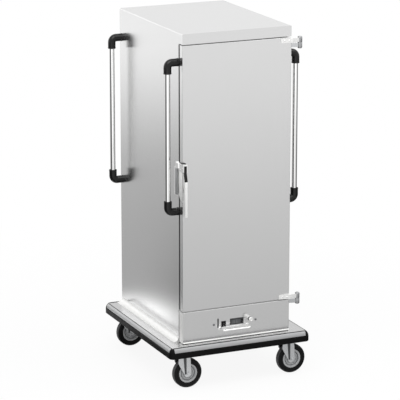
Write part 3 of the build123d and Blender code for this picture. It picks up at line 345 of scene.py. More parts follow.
class Shape:
    """Small closed shapes, in millimetres about the origin, made with bmesh operators."""

    @staticmethod
    def soften(shape: Mesh, radius: float, segments: int = 2, edges: Edges | None = None) -> Mesh:
        """Rounds edges of a shape.

        Args:
            shape: The shape.
            radius: Radius of the edges.
            segments: Faces across each rounded edge.
            edges: The edges, or None for all of them.

        Returns:
            The same shape.
        """
        bmesh.ops.bevel(shape, geom=edges or shape.edges[:], offset=radius, affect="EDGES", segments=segments,
                        profile=0.5, material=-1)
        return shape

    @staticmethod
    def turned(profile: Outline, steps: int = 32) -> Mesh:
        """Spins an outline about the Z axis.

        Args:
            profile: Radius and height of each point, from one end on the axis to the other, or a closed ring.
            steps: Faces round the axis.

        Returns:
            The turned shape.
        """
        shape = bmesh.new()
        points = [shape.verts.new((radius, 0.0, height)) for radius, height in profile]
        pairs = list(zip(points, points[1:]))
        if profile[0][0] > 0 and profile[-1][0] > 0:
            pairs.append((points[-1], points[0]))
        edges = [shape.edges.new(pair) for pair in pairs]
        bmesh.ops.spin(shape, geom=points + edges, cent=(0, 0, 0), axis=(0, 0, 1), angle=2 * math.pi, steps=steps,
                       use_merge=True)
        return shape

    @staticmethod
    def block(x: Pair, y: Pair, z: Pair, radius: float, segments: int = 2) -> Mesh:
        """Makes a block with all its edges rounded.

        Args:
            x: Its span along X.
            y: Its span along Y.
            z: Its span along Z.
            radius: Radius of the edges.
            segments: Faces across each rounded edge.

        Returns:
            The block.
        """
        shape = bmesh.new()
        low, high = (Vector(corner) for corner in zip(x, y, z))
        place = Matrix.Translation((low + high) / 2) @ Matrix.Diagonal((*(high - low), 1.0))
        bmesh.ops.create_cube(shape, size=1.0, matrix=place)
        return Shape.soften(shape, radius, segments)

    @staticmethod
    def frame(x: Pair, y: Pair, z: Pair, wall: float, radius: float) -> Mesh:
        """Makes an upright rectangular frame that is open along Y.

        Args:
            x: Its span along X.
            y: Its span along Y.
            z: Its span along Z.
            wall: Width of the frame's four sides.
            radius: Radius of the outer edges.

        Returns:
            The frame.
        """
        shape = Shape.block(x, y, z, radius)
        faces = [face for face in shape.faces if abs(face.normal.y) > 0.99]
        bmesh.ops.inset_region(shape, faces=faces, thickness=wall)
        rings = [edge for face in faces for edge in face.edges]
        bmesh.ops.delete(shape, geom=faces, context="FACES_ONLY")
        bmesh.ops.bridge_loops(shape, edges=rings)
        return shape

    @staticmethod
    def prism(outline: list[Triple], shift: Triple) -> Mesh:
        """Makes a prism.

        Args:
            outline: Corners of the end face, in order.
            shift: How far the end face is pushed.

        Returns:
            The prism.
        """
        shape = bmesh.new()
        face = shape.faces.new([shape.verts.new(corner) for corner in outline])
        grown = bmesh.ops.extrude_face_region(shape, geom=[face])["geom"]
        verts = [item for item in grown if isinstance(item, bmesh.types.BMVert)]
        bmesh.ops.translate(shape, verts=verts, vec=shift)
        return shape

    @staticmethod
    def dome(radius: float, height: float, socket: float = 0.0) -> Mesh:
        """Makes a domed screw or rivet head on the XY plane, sunk a little below it.

        Args:
            radius: Radius of the head.
            height: Height of the dome.
            socket: Radius of a round socket, or 0 for a plain rivet.

        Returns:
            The head.
        """
        sunk, floor = -0.4, height * 0.35
        turns = [math.radians(angle) for angle in (0, 25, 50, 72)]
        profile = [(0.0, sunk), (radius, sunk)] + [(radius * math.cos(t), height * math.sin(t)) for t in turns]
        if not socket:
            return Shape.turned(profile + [(0.0, height)], 16)
        return Shape.turned(profile + [(socket, height * 0.98), (socket * 0.94, floor), (0.0, floor)], 18)

    @staticmethod
    def rod(radius: float, segments: int, start: Matrix) -> tuple[Mesh, Edges]:
        """Starts a rod with a closed end.

        Args:
            radius: Radius of the rod.
            segments: Faces round it.
            start: Where its end lies.

        Returns:
            The shape, and the ring of edges that it grows from.
        """
        shape = bmesh.new()
        bmesh.ops.create_circle(shape, segments=segments, radius=radius, cap_ends=True, matrix=start)
        return shape, shape.edges[:]

    @staticmethod
    def push(shape: Mesh, edges: Edges, shift: Vector, scale: float = 1.0) -> Edges:
        """Extrudes a ring of edges.

        Args:
            shape: The shape that holds the ring.
            edges: The ring.
            shift: How far the new ring moves.
            scale: How far it draws in about its own middle.

        Returns:
            The new ring.
        """
        grown = bmesh.ops.extrude_edge_only(shape, edges=edges)["geom"]
        verts = [item for item in grown if isinstance(item, bmesh.types.BMVert)]
        middle = sum((vert.co for vert in verts), Vector()) / len(verts)
        bmesh.ops.translate(shape, verts=verts, vec=shift)
        bmesh.ops.scale(shape, verts=verts, vec=(scale,) * 3, space=Matrix.Translation(-middle - shift))
        return [item for item in grown if isinstance(item, bmesh.types.BMEdge)
                and all(vert in verts for vert in item.verts)]

    @staticmethod
    def bend(shape: Mesh, edges: Edges, middle: Triple, axis: Triple, steps: int) -> Edges:
        """Sweeps a ring of edges through a right angle.

        Args:
            shape: The shape that holds the ring.
            edges: The ring.
            middle: Point on the axis of the bend.
            axis: Direction of that axis.
            steps: Faces along the bend.

        Returns:
            The ring at the bend's end.
        """
        points = list(dict.fromkeys(vert for edge in edges for vert in edge.verts))
        swept = bmesh.ops.spin(shape, geom=edges + points, cent=middle, axis=axis, angle=RIGHT_ANGLE, steps=steps)
        return [item for item in swept["geom_last"] if isinstance(item, bmesh.types.BMEdge)]


class Piece:
    """Collects shapes, in millimetres, into one mesh object."""

    def __init__(self, name: str) -> None:
        """Starts an empty piece of that name."""
        self.name = name
        self.mesh = bmesh.new()

    def take(self, shape: Mesh, place: Matrix | None = None) -> "Piece":
        """Adds a shape at its place, with its doubles merged and its faces outwards.

        Args:
            shape: The shape, which is used up.
            place: Where it goes.

        Returns:
            This piece.
        """
        bmesh.ops.transform(shape, matrix=place or Matrix(), verts=shape.verts)
        bmesh.ops.remove_doubles(shape, verts=shape.verts, dist=1e-4)
        bmesh.ops.recalc_face_normals(shape, faces=shape.faces)
        carrier = bpy.data.meshes.new("carrier")
        shape.to_mesh(carrier)
        shape.free()
        self.mesh.from_mesh(carrier)
        bpy.data.meshes.remove(carrier)
        return self

    def done(self, finish: Finish, body: str, replaced: tuple[str, ...] = (), crease: float = 38.0) -> None:
        """Turns the collected shapes into an object that rides on a body.

        Args:
            finish: Its finish.
            body: The body that it moves with.
            replaced: CAD nodes that it stands for.
            crease: Edges over this angle, in degrees, stay sharp.
        """
        bmesh.ops.scale(self.mesh, vec=(MM, MM, MM), verts=self.mesh.verts)
        for face in self.mesh.faces:
            face.smooth = True
        for edge in self.mesh.edges:
            edge.smooth = edge.calc_face_angle(0.0) < math.radians(crease)
        data = bpy.data.meshes.new(self.name)
        self.mesh.to_mesh(data)
        self.mesh.free()
        made = linked(self.name, data)
        data.materials.append(finish.material())
        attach(made, body)
        if replaced:
            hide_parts(*replaced)
        LOG.info("piece %s: %d faces on %s", self.name, len(data.polygons), body)


def dress(finish: Finish, *nodes: str) -> None:
    """Gives CAD nodes a finish.

    Args:
        finish: The finish.
        *nodes: Names of the nodes.
    """
    for name in nodes:
        for slot in frame["nodes"][name].material_slots:
            slot.material = finish.material()
    LOG.info("finish %s on %d nodes", finish.name, len(nodes))


@dataclass
class Platform:
    """The folded tray under the cabinet, its frame and the bumper round it."""

    half_size: Pair = (405.0, 465.0)
    bumper_reach: float = 18.0
    corner: float = 24.6
    bead_run: float = 381.0
    bead_y: float = 448.5
    bead_half: float = 3.6
    bead_z: Pair = (239.0, 241.5)
    bead_round: float = 1.1
    strip_low: Pair = (15.0, 217.3)
    strip_high: Pair = (4.2, 239.5)
    strip_bulge: float = 3.2
    strip_steps: int = 8

    def build_beads(self) -> None:
        """Makes the rubber beads that close the joint between the tray and the bumper, in front and behind."""
        beads = Piece("bumper_bead")
        for y in about(0.0, self.bead_y):
            beads.take(Shape.block(about(0.0, self.bead_run), about(y, self.bead_half), self.bead_z, self.bead_round,
                                   3))
        beads.done(Finishes.RUBBER, "cabinet")

    def build_strips(self) -> None:
        """Makes the four crowned cover strips on the bumper's shoulder, with black rubber left bare below them."""
        low, high = Vector(self.strip_low), Vector(self.strip_high)
        outward = Vector((high.y - low.y, low.x - high.x)).normalized()
        peak = (low + high) / 2 + outward * 2 * self.strip_bulge
        shares = [step / self.strip_steps for step in range(self.strip_steps + 1)]
        section = [low.lerp(peak, share).lerp(peak.lerp(high, share), share) for share in shares]
        strips = Piece("cover_strips")
        for quarter in range(4):
            run, distance = self.half_size[::-1] if quarter % 2 else self.half_size
            half_run, skirt = run - self.corner, distance - self.bumper_reach
            strip = Shape.prism([(-half_run, -skirt - out, z) for out, z in section], (2 * half_run, 0, 0))
            strips.take(strip, Matrix.Rotation(quarter * RIGHT_ANGLE, 4, "Z"))
        strips.done(Finishes.VINYL, "cabinet", ("bumper_inserts",))

    def build(self) -> None:
        """Dresses the platform's nodes and makes the beads and strips."""
        dress(Finishes.FLAT_SHEET, "base_tray")
        dress(Finishes.PAINT, "base_frame")
        dress(Finishes.RUBBER, "bumper_rubber", "bumper_corners")
        self.build_beads()
        self.build_strips()


@dataclass
class Casters:
    """The four swivel casters: their plates, pressed forks, wheel centres and tyres."""

    wheel_radius: float = 80.0
    wheel_half: float = 19.0
    shoulder: float = 14.0
    shoulder_turns: tuple[float, ...] = (8.0, 20.0, 32.0, 44.0, 58.0)
    trail: float = 22.0
    leg_outside: float = 27.0
    leg_sheet: float = 2.6
    leg_round: float = 7.0
    leg_shoulder: float = 150.0
    crown_top: float = 176.0
    crown_half: float = 34.0
    crown_sheet: float = 4.0
    crown_round: float = 1.6
    slot_top: Pair = (-9.0, 9.0)
    slot_foot: Pair = (-1.0, 9.0)
    slot_bottom: float = 78.0
    shade_plate_sheet: float = 1.2
    shade_plate_lap: float = 2.0
    shade_plate_top: float = 171.0
    shade_plate_bottom: float = 77.0
    shade_plate_gap: float = 0.1
    head_radius: float = 9.0
    head_height: float = 6.0
    head_seat: float = 1.4
    head_round: float = 0.9
    seal_lift: float = 0.4

    # The leg's outline along X and Z, then sections by radius and height: of the upper half, or of the whole
    LEG = ((-34.0, 176.0), (30.0, 176.0), (33.0, 146.0), (34.5, 86.0), (27.0, 65.0), (5.0, 62.0), (-38.0, 143.0))
    CENTRE_HALF = ((5.2, 22.4), (12.0, 22.4), (14.0, 21.6), (15.4, 19.4), (16.8, 15.6), (19.6, 14.6), (24.6, 14.2),
                   (25.4, 9.0), (28.4, 9.0), (29.2, 14.0), (33.6, 13.6), (35.0, 12.4), (35.6, 2.0), (41.0, 2.0),
                   (41.6, 16.4), (43.0, 18.0), (50.0, 18.0), (51.2, 17.6), (52.0, 16.4))
    TYRE_SIDE = ((52.2, 18.4), (52.9, 19.0), (63.0, 19.0), (63.8, 17.8), (65.4, 17.8), (66.2, 19.0))
    TREAD_SEAT = (78.0, 13.5)
    TREAD_HALF = ((77.6, 13.5), (78.8, 13.5), (79.7, 11.9), (80.0, 10.1), (80.0, 7.2), (78.7, 6.6), (78.7, 5.2),
                  (80.0, 4.6))
    WASHER = ((0.0, 0.0), (11.4, 0.0), (11.8, 0.4), (11.8, 1.2), (11.4, 1.6), (0.0, 1.6))
    SEAL_RING = ((22.0, 0.0), (27.5, 0.0), (28.6, 0.8), (28.6, 2.2), (27.8, 3.0), (22.0, 3.0))

    def build_wheel(self, corner: str) -> None:
        """Makes one wheel: its centre with ring grooves, the tyre with round shoulders, and the grooved tread.

        Args:
            corner: Which caster.
        """
        low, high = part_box(f"wheel_tyre_{corner}")
        place = Along.BACK.place(*((low + high) / 2 / MM))
        shoulder = [(self.wheel_radius - self.shoulder * (1 - math.sin(turn)),
                     self.wheel_half - self.shoulder * (1 - math.cos(turn)))
                    for turn in map(math.radians, self.shoulder_turns)]
        tyre = [*self.TYRE_SIDE, *shoulder, self.TREAD_SEAT]
        for name, half, steps, finish, node in (
                ("wheel_centre", self.CENTRE_HALF, 64, Finishes.POLYAMIDE, "wheel_core"),
                ("tyre", tyre, 96, Finishes.TYRE, "wheel_tyre"),
                ("tread", self.TREAD_HALF, 96, Finishes.TREAD, "wheel_tyre")):
            piece = Piece(f"{name}_{corner}").take(Shape.turned(mirrored(half), steps), place)
            piece.done(finish, f"wheel_{corner}", (f"{node}_{corner}",))

    def leg(self) -> Mesh:
        """Makes one pressed fork leg that faces the front, with a tapered opening down to the axle."""
        shape = bmesh.new()
        face = shape.faces.new([shape.verts.new((x, -self.leg_outside, z)) for x, z in self.LEG])
        face.normal_update()
        corners = [vert for vert in shape.verts if vert.co.z < self.leg_shoulder]
        bmesh.ops.bevel(shape, geom=corners, offset=self.leg_round, affect="VERTICES", segments=4, profile=0.5,
                        material=-1)
        cuts = [(Vector((foot, 0, self.slot_bottom)), Vector((top, 0, self.crown_top)))
                for foot, top in zip(self.slot_foot, self.slot_top)]
        cuts.append((Vector((0, 0, self.slot_bottom)), Vector((1, 0, self.slot_bottom))))
        for near, far in cuts:
            bmesh.ops.bisect_plane(shape, geom=shape.verts[:] + shape.edges[:] + shape.faces[:], plane_co=near,
                                   plane_no=(far - near).cross(Vector((0, 1, 0))), dist=1e-3)
        opened = [face for face in shape.faces if self.in_slot(face.calc_center_median())]
        bmesh.ops.delete(shape, geom=opened, context="FACES")
        bmesh.ops.recalc_face_normals(shape, faces=shape.faces)
        if sum(face.normal.y for face in shape.faces) > 0:
            bmesh.ops.reverse_faces(shape, faces=shape.faces)
        bmesh.ops.solidify(shape, geom=shape.faces[:], thickness=self.leg_sheet)
        return shape

    def in_slot(self, spot: Vector) -> bool:
        """Tells if a point of a leg is inside its opening.

        Args:
            spot: The point in millimetres.

        Returns:
            True inside the opening.
        """
        share = (spot.z - self.slot_bottom) / (self.crown_top - self.slot_bottom)
        left, right = (foot + (top - foot) * share for foot, top in zip(self.slot_foot, self.slot_top))
        return share > 0 and left < spot.x < right

    def shade_plate(self) -> Mesh:
        """Makes the dark plate behind a leg's opening: painted shade, standing for the shade deep in the pressed
        valley.
        """
        shape = bmesh.new()
        (left, right), (low_left, low_right), lap = self.slot_top, self.slot_foot, self.shade_plate_lap
        corners = ((left - lap, self.shade_plate_top), (right + lap, self.shade_plate_top),
                   (low_right + lap, self.shade_plate_bottom), (low_left - lap, self.shade_plate_bottom))
        front = -self.leg_outside + self.leg_sheet + self.shade_plate_gap
        face = shape.faces.new([shape.verts.new((x, front, z)) for x, z in corners])
        face.normal_update()
        bmesh.ops.solidify(shape, geom=[face], thickness=-self.shade_plate_sheet if face.normal.y < 0 else self.shade_plate_sheet)
        return shape

    def axle_head(self) -> Mesh:
        """Makes a six-sided axle head along Z, just over its washer's seat."""
        shape = bmesh.new()
        depth = self.head_height - self.head_seat
        bmesh.ops.create_cone(shape, cap_ends=True, segments=6, radius1=self.head_radius, radius2=self.head_radius,
                              depth=depth, matrix=Matrix.Translation((0, 0, self.head_seat + depth / 2)))
        rims = [edge for edge in shape.edges if all(vert.co.z > self.head_height - 0.1 for vert in edge.verts)]
        return Shape.soften(shape, self.head_round, 2, rims)

    def build_fork(self, corner: str) -> None:
        """Makes one fork: a crown, two pressed legs with dark plates of painted shade behind their openings, and the
        axle bolt's heads.

        Args:
            corner: Which caster.
        """
        place = Matrix.Translation((*self.swivel_axis(corner), 0))
        fork, shade_plates = Piece(f"fork_pressed_{corner}"), Piece(f"fork_shade_plates_{corner}")
        fork.take(Shape.block(about(0.0, self.crown_half), about(0.0, self.leg_outside),
                              (self.crown_top - self.crown_sheet, self.crown_top), self.crown_round), place)
        for side, way in ((1, Along.FRONT), (-1, Along.BACK)):
            flipped = place @ Matrix.Diagonal((1, side, 1, 1))
            axle = place @ way.place(self.trail, -side * self.leg_outside, self.wheel_radius)
            fork.take(self.leg(), flipped)
            fork.take(Shape.turned(self.WASHER, 28), axle)
            fork.take(self.axle_head(), axle)
            shade_plates.take(self.shade_plate(), flipped)
        fork.done(Finishes.ZINC, f"caster_{corner}", (f"caster_fork_{corner}",), 30.0)
        # the dark plates are painted shade for the deep valley in each leg
        shade_plates.done(Finishes.SHADE_ZINC, f"caster_{corner}", (), 20.0)

    def build_seals(self) -> None:
        """Makes the plastic seal rings under the four swivel heads."""
        seals = Piece("swivel_seals")
        for corner in CORNERS:
            seals.take(Shape.turned(self.SEAL_RING, 40),
                       Along.UP.place(*self.swivel_axis(corner), self.crown_top + self.seal_lift))
        seals.done(Finishes.NYLON, "cabinet")

    def swivel_axis(self, corner: str) -> Pair:
        """Gives the plan position of one corner's swivel axis in millimetres."""
        joint = next(j for j in frame["joints"] if j["name"] == f"swivel_{corner}")
        return joint["pos_m"][0] / MM, joint["pos_m"][1] / MM

    def build(self) -> None:
        """Builds the wheels, forks and seals, and dresses the plates."""
        dress(Finishes.ZINC, "caster_plates", "caster_bolts")
        for corner in CORNERS:
            self.build_wheel(corner)
            self.build_fork(corner)
        self.build_seals()


@dataclass
class Cabinet:
    """The insulated cabinet: casing, liner, racks, the coves at its foot, and the rivets and inlet on its back."""

    rivet: Pair = (4.0, 1.4)
    rivet_inset: float = 13.0
    rivet_rows: int = 10
    rivet_columns: int = 4
    inlet_screw: Triple = (2.2, 1.0, 0.9)
    inlet_reach: float = 23.4
    cove_radius: float = 30.0
    cove_steps: int = 7
    cove_front: float = -348.0
    fold_y: Pair = (-349.3, -345.1)
    fold_inset: float = 1.0
    fold_round: float = 0.6

    def build_folds(self) -> None:
        """Makes the steel folds that close the front of the insulated walls beside the drawer."""
        inner, outer = (box_mm(node)[1].x - self.fold_inset for node in ("compartment_sides", "outer_casing"))
        low, high = box_mm("drawer_front")
        folds = Piece("wall_folds")
        for side in (-1, 1):
            span = sorted((side * inner, side * outer))
            folds.take(Shape.block(span, self.fold_y, (low.z, high.z), self.fold_round))
        folds.done(Finishes.SHEET, "cabinet")

    def build_coves(self) -> None:
        """Makes the coved strips that close the corners between the cabinet's sides and the platform."""
        low, high = box_mm("outer_casing")
        turns = [math.radians(180 + 90 * step / self.cove_steps) for step in range(self.cove_steps + 1)]
        section = [(self.cove_radius * (1 + math.cos(turn)), self.cove_radius * (1 + math.sin(turn))) for turn in turns]
        coves = Piece("foot_coves")
        for side, wall in ((-1, low.x), (1, high.x)):
            outline = [(wall + side * out, self.cove_front, low.z + up) for out, up in section + [(0.0, 0.0)]]
            coves.take(Shape.prism(outline, (0, high.y - self.cove_front, 0)))
        coves.done(Finishes.SATIN, "cabinet")

    def build_rivets(self) -> None:
        """Makes the blind rivets round the back panel."""
        low, high = box_mm("back_panel")
        left, right = low.x + self.rivet_inset, high.x - self.rivet_inset
        bottom, top = low.z + self.rivet_inset, high.z - self.rivet_inset
        places = [(x, bottom + (top - bottom) * row / (self.rivet_rows - 1))
                  for x in (left, right) for row in range(self.rivet_rows)]
        places += [(left + (right - left) * column / (self.rivet_columns + 1), z)
                   for z in (bottom, top) for column in range(1, self.rivet_columns + 1)]
        rivets = Piece("back_rivets")
        for x, z in places:
            rivets.take(Shape.dome(*self.rivet), Along.BACK.place(x, high.y, z))
        rivets.done(Finishes.POLISHED, "cabinet")

    def build_inlet_screws(self) -> None:
        """Makes the two small screws in the flange of the mains inlet."""
        low, high = box_mm("mains_inlet")
        screws = Piece("inlet_screws")
        for side in (-1, 1):
            screws.take(Shape.dome(*self.inlet_screw),
                        Along.BACK.place((low.x + high.x) / 2 + side * self.inlet_reach, high.y, (low.z + high.z) / 2))
        screws.done(Finishes.ZINC, "cabinet")

    def build(self) -> None:
        """Dresses the cabinet's nodes and adds its coves, folds and fasteners."""
        dress(Finishes.SHEET, "outer_casing", "front_header", "back_panel", "inner_liner", "compartment_sides")
        dress(Finishes.FLAT_SHEET, "floor_grille", "drawer_ceiling", "left_tray_rack", "right_tray_rack",
              "drawer_runners")
        dress(Finishes.WOOL, "wall_insulation", "door_insulation")
        dress(Finishes.NYLON, "mains_inlet")
        self.build_coves()
        self.build_folds()
        self.build_rivets()
        self.build_inlet_screws()


@dataclass
class PushHandles:
    """Four upright tubes, and the black elbows that hold them to the cabinet's sides."""

    axis_x: float = 364.0
    wall_x: float = 308.0
    rows: Pair = (-338.0, 421.0)
    ends: Pair = (927.5, 1755.5)
    radius: float = 20.5
    bend: float = 24.0
    bend_steps: int = 10
    length: float = 77.5
    mouth: float = 14.3
    mouth_depth: float = 16.0
    collar_z: float = 51.0
    facets: int = 36

    # Sections by radius and height of the foot on the wall and of the collar round the tube
    FOOT = ((0.0, 0.0), (21.6, 0.0), (21.6, 2.0), (20.9, 3.3), (19.6, 4.0), (0.0, 4.0))
    COLLAR = ((14.5, 0.0), (20.0, 0.0), (21.2, 1.2), (21.2, 4.8), (20.0, 6.0), (14.5, 6.0))

    def elbow(self) -> Mesh:
        """Makes one elbow that leaves a wall along X and turns up along Z."""
        straight = self.axis_x - self.wall_x - self.bend
        shape, edges = Shape.rod(self.radius, self.facets, Matrix.Rotation(RIGHT_ANGLE, 4, "Y"))
        edges = Shape.push(shape, edges, Vector((straight, 0, 0)))
        edges = Shape.bend(shape, edges, (straight, 0, self.bend), (0, -1, 0), self.bend_steps)
        edges = Shape.push(shape, edges, Vector((0, 0, self.length - self.radius - self.bend)))
        edges = Shape.push(shape, edges, Vector(), self.mouth / self.radius)
        edges = Shape.push(shape, edges, Vector((0, 0, -self.mouth_depth)))
        bmesh.ops.edgeloop_fill(shape, edges=edges)
        return shape

    def build_elbows(self) -> None:
        """Makes the eight elbows with a foot on the wall and a collar round the tube."""
        elbows = Piece("push_handle_mouldings")
        for side in (-1, 1):
            for y in self.rows:
                for end, up in zip(self.ends, (1, -1)):
                    place = (Matrix.Translation((side * self.wall_x, y, end + up * self.radius))
                             @ Matrix.Diagonal((side, 1, up, 1)))
                    elbows.take(self.elbow(), place)
                    elbows.take(Shape.turned(self.FOOT, self.facets), place @ Along.RIGHT.place(0, 0, 0))
                    elbows.take(Shape.turned(self.COLLAR, self.facets),
                                place @ Along.UP.place(self.axis_x - self.wall_x, 0, self.collar_z))
        elbows.done(Finishes.NYLON, "cabinet", ("push_handle_elbows",))

    def build(self) -> None:
        """Dresses the tubes and makes the elbows."""
        dress(Finishes.POLISHED, "push_handle_tubes")
        self.build_elbows()


@dataclass
class Door:
    """The door with its seal, its two lift-off hinges and its latch."""

    hinge: Pair = (355.0, -405.0)
    splits: Pair = (1800.0, 416.0)
    strap_start: Pair = (248.0, -405.0)
    strap_end: Pair = (308.0, -417.0)
    strap_middle: float = 14.0
    strap_shares: Pair = (0.3, 0.72)
    strap_screw: Triple = (4.4, 1.6, 1.8)
    pin: Pair = (-412.0, 1192.5)
    pin_head: Pair = (5.2, 1.6)
    latch_wall: float = 4.0
    latch_screw: Triple = (3.4, 1.4, 1.4)
    latch_screw_y: float = -384.0
    latch_screw_inset: float = 9.0
    cap_x: Pair = (0.6, 19.0)
    cap_y: Pair = (-419.0, -367.0)
    cap_z: Pair = (-0.6, 4.4)
    cover_lap: Pair = (0.8, 6.0)
    cover_y: Pair = (-346.0, -325.0)
    cover_end: Pair = (-310.6, 1177.0)
    plate_sheet: float = 1.6
    plate_clear: float = 0.7
    lever_x: Pair = (-307.7, -292.7)
    grip_y: Pair = (-434.5, -425.5)
    grip_z: Pair = (932.5, 1123.5)
    web_sheet: float = 2.4
    web_inset: float = 0.8
    lip_depth: float = 6.4
    lip_wall: float = 6.0
    lip_inset: float = 0.4
    bead_x: Pair = (-0.5, -0.1)
    bead_y: Pair = (-4.5, 2.4)
    bead_inset: float = 1.0
    sill_y: Pair = (-399.0, -352.0)
    sill_z: Pair = (412.9, 416.4)
    sill_inset: float = 2.0

    # Sections by radius and height of a hinge sleeve and the lever's hub, then outlines along Y and Z
    SLEEVE = ((0.0, 32.0), (8.0, 31.6), (10.4, 30.3), (12.0, 28.0), (12.6, 25.0), (12.6, 2.2), (11.8, 0.9), (10.6, 0.9),
              (10.6, 30.2), (0.0, 30.2))
    HUB = ((4.2, 0.0), (6.0, 0.0), (6.5, 0.5), (6.5, 14.5), (6.0, 15.0), (4.2, 15.0))
    ARM = ((-412.5, 1197.0), (-434.5, 1123.0), (-426.0, 1120.0), (-406.0, 1184.0))
    WEB = ((-414.0, 1166.0), (-406.0, 1166.0), (-406.0, 1096.0), (-425.8, 1049.0), (-425.8, 1121.0))
    SIDE_PLATE = ((-401.5, 1168.0), (-353.8, 1168.0), (-353.8, 1046.0), (-372.0, 1022.0), (-401.5, 1008.0))

    @staticmethod
    def plate(outline: Outline, start: float, width: float, radius: float, segments: int = 2) -> Mesh:
        """Makes an upright plate with soft edges.

        Args:
            outline: Its corners along Y and Z.
            start: X of its first face.
            width: How far it runs along X from there.
            radius: Radius of the edges.
            segments: Faces across each rounded edge.

        Returns:
            The plate.
        """
        return Shape.soften(Shape.prism([(start, y, z) for y, z in outline], (width, 0, 0)), radius, segments)

    def build_hinge_details(self) -> None:
        """Makes the cast sleeves over the hinge barrels and the strap screws."""
        door_sleeves, fixed_sleeves = Piece("hinge_sleeves_door"), Piece("hinge_sleeves_cabinet")
        screws = Piece("hinge_strap_screws")
        start, end = Vector((*self.strap_start, 0)), Vector((*self.strap_end, 0))
        outward = Vector(((end - start).y, -(end - start).x, 0)).normalized()
        for split in self.splits:
            door_sleeves.take(Shape.turned(self.SLEEVE, 36), Along.UP.place(*self.hinge, split))
            fixed_sleeves.take(Shape.turned(self.SLEEVE, 36), Along.DOWN.place(*self.hinge, split))
            for share in self.strap_shares:
                spot = start.lerp(end, share) + Vector((0, 0, split + self.strap_middle))
                screws.take(Shape.dome(*self.strap_screw), aimed(spot, outward))
        door_sleeves.done(Finishes.SHADED_DIE_CAST, "door")
        fixed_sleeves.done(Finishes.SHADED_DIE_CAST, "cabinet")
        screws.done(Finishes.POLISHED, "door")

    def build_seal_lip(self) -> None:
        """Makes the lip of the seal that fills the gap behind the door, and its bead down the latch side."""
        low, high = box_mm("door_outer_skin")
        back = high.y + self.lip_depth
        lip = Shape.frame(inset(low.x, high.x, self.lip_inset), (high.y, back), inset(low.z, high.z, self.lip_inset),
                          self.lip_wall, 0.8)
        bead = Shape.block(moved(self.bead_x, low.x), (high.y + self.bead_y[0], back + self.bead_y[1]),
                           inset(low.z, high.z, self.bead_inset), 0.15)
        Piece("door_seal_lip").take(lip).take(bead).done(Finishes.SEAL, "door")

    def build_latch_details(self) -> None:
        """Makes the latch's fasteners, its black cap, the keeper's cast cover and the plate on the door's edge."""
        low, high = box_mm("latch_housing")
        side = low.x + self.latch_wall
        heads = Piece("latch_fasteners").take(Shape.dome(*self.pin_head), Along.LEFT.place(side, *self.pin))
        for z in inset(low.z, high.z, self.latch_screw_inset):
            heads.take(Shape.dome(*self.latch_screw), Along.LEFT.place(side, self.latch_screw_y, z))
        heads.done(Finishes.POLISHED, "door")
        cap = Shape.block(moved(self.cap_x, side), self.cap_y, moved(self.cap_z, high.z), 1.8, 3)
        Piece("latch_cap").take(cap).done(Finishes.NYLON, "door")
        keeper = box_mm("latch_keeper")[0]
        cover = Shape.block((keeper.x - self.cover_lap[0], self.cover_end[0]), self.cover_y,
                            (keeper.z + self.cover_lap[1], self.cover_end[1]), 2.2, 3)
        Piece("keeper_cover").take(cover).done(Finishes.SHADED_DIE_CAST, "cabinet")
        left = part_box("door_outer_skin")[0].x / MM - self.plate_clear
        plate = self.plate(self.SIDE_PLATE, left, -self.plate_sheet, 0.5)
        Piece("latch_side_plate").take(plate).done(Finishes.SATIN, "door")

    def build_lever(self) -> None:
        """Makes the lever anew: a black moulded arm on the pin, and a satin grip with two webs below it."""
        left, right = self.lever_x
        arm = Piece("lever_arm").take(self.plate(self.ARM, left, right - left, 1.6, 3))
        arm.take(Shape.turned(self.HUB, 32), Along.RIGHT.place(left, *self.pin))
        arm.done(Finishes.NYLON, "latch_lever", ("latch_lever",))
        grip = Piece("lever_grip").take(Shape.block(self.lever_x, self.grip_y, self.grip_z, 2.2, 4))
        for x in (left + self.web_inset, right - self.web_inset - self.web_sheet):
            grip.take(self.plate(self.WEB, x, self.web_sheet, 0.7))
        grip.done(Finishes.SATIN, "latch_lever", ("latch_lever",))

    def build_sill(self) -> None:
        """Makes the steel sill on the cabinet that closes most of the gap under the door."""
        low, high = box_mm("door_outer_skin")
        sill = Shape.block(inset(low.x, high.x, self.sill_inset), self.sill_y, self.sill_z, 1.2)
        Piece("door_sill").take(sill).done(Finishes.FLAT_SHEET, "cabinet")

    def build(self) -> None:
        """Dresses the door, hinges and latch, and adds their fine pieces."""
        dress(Finishes.SHEET, "door_outer_skin", "door_inner_skin")
        dress(Finishes.SEAL, "door_gasket")
        dress(Finishes.POLISHED, "latch_housing", "latch_keeper")
        dress(Finishes.SATIN, "top_hinge_strap", "bottom_hinge_strap")
        dress(Finishes.ZINC, "top_hinge_bracket", "bottom_hinge_bracket")
        self.build_hinge_details()
        self.build_seal_lip()
        self.build_sill()
        self.build_latch_details()
        self.build_lever()


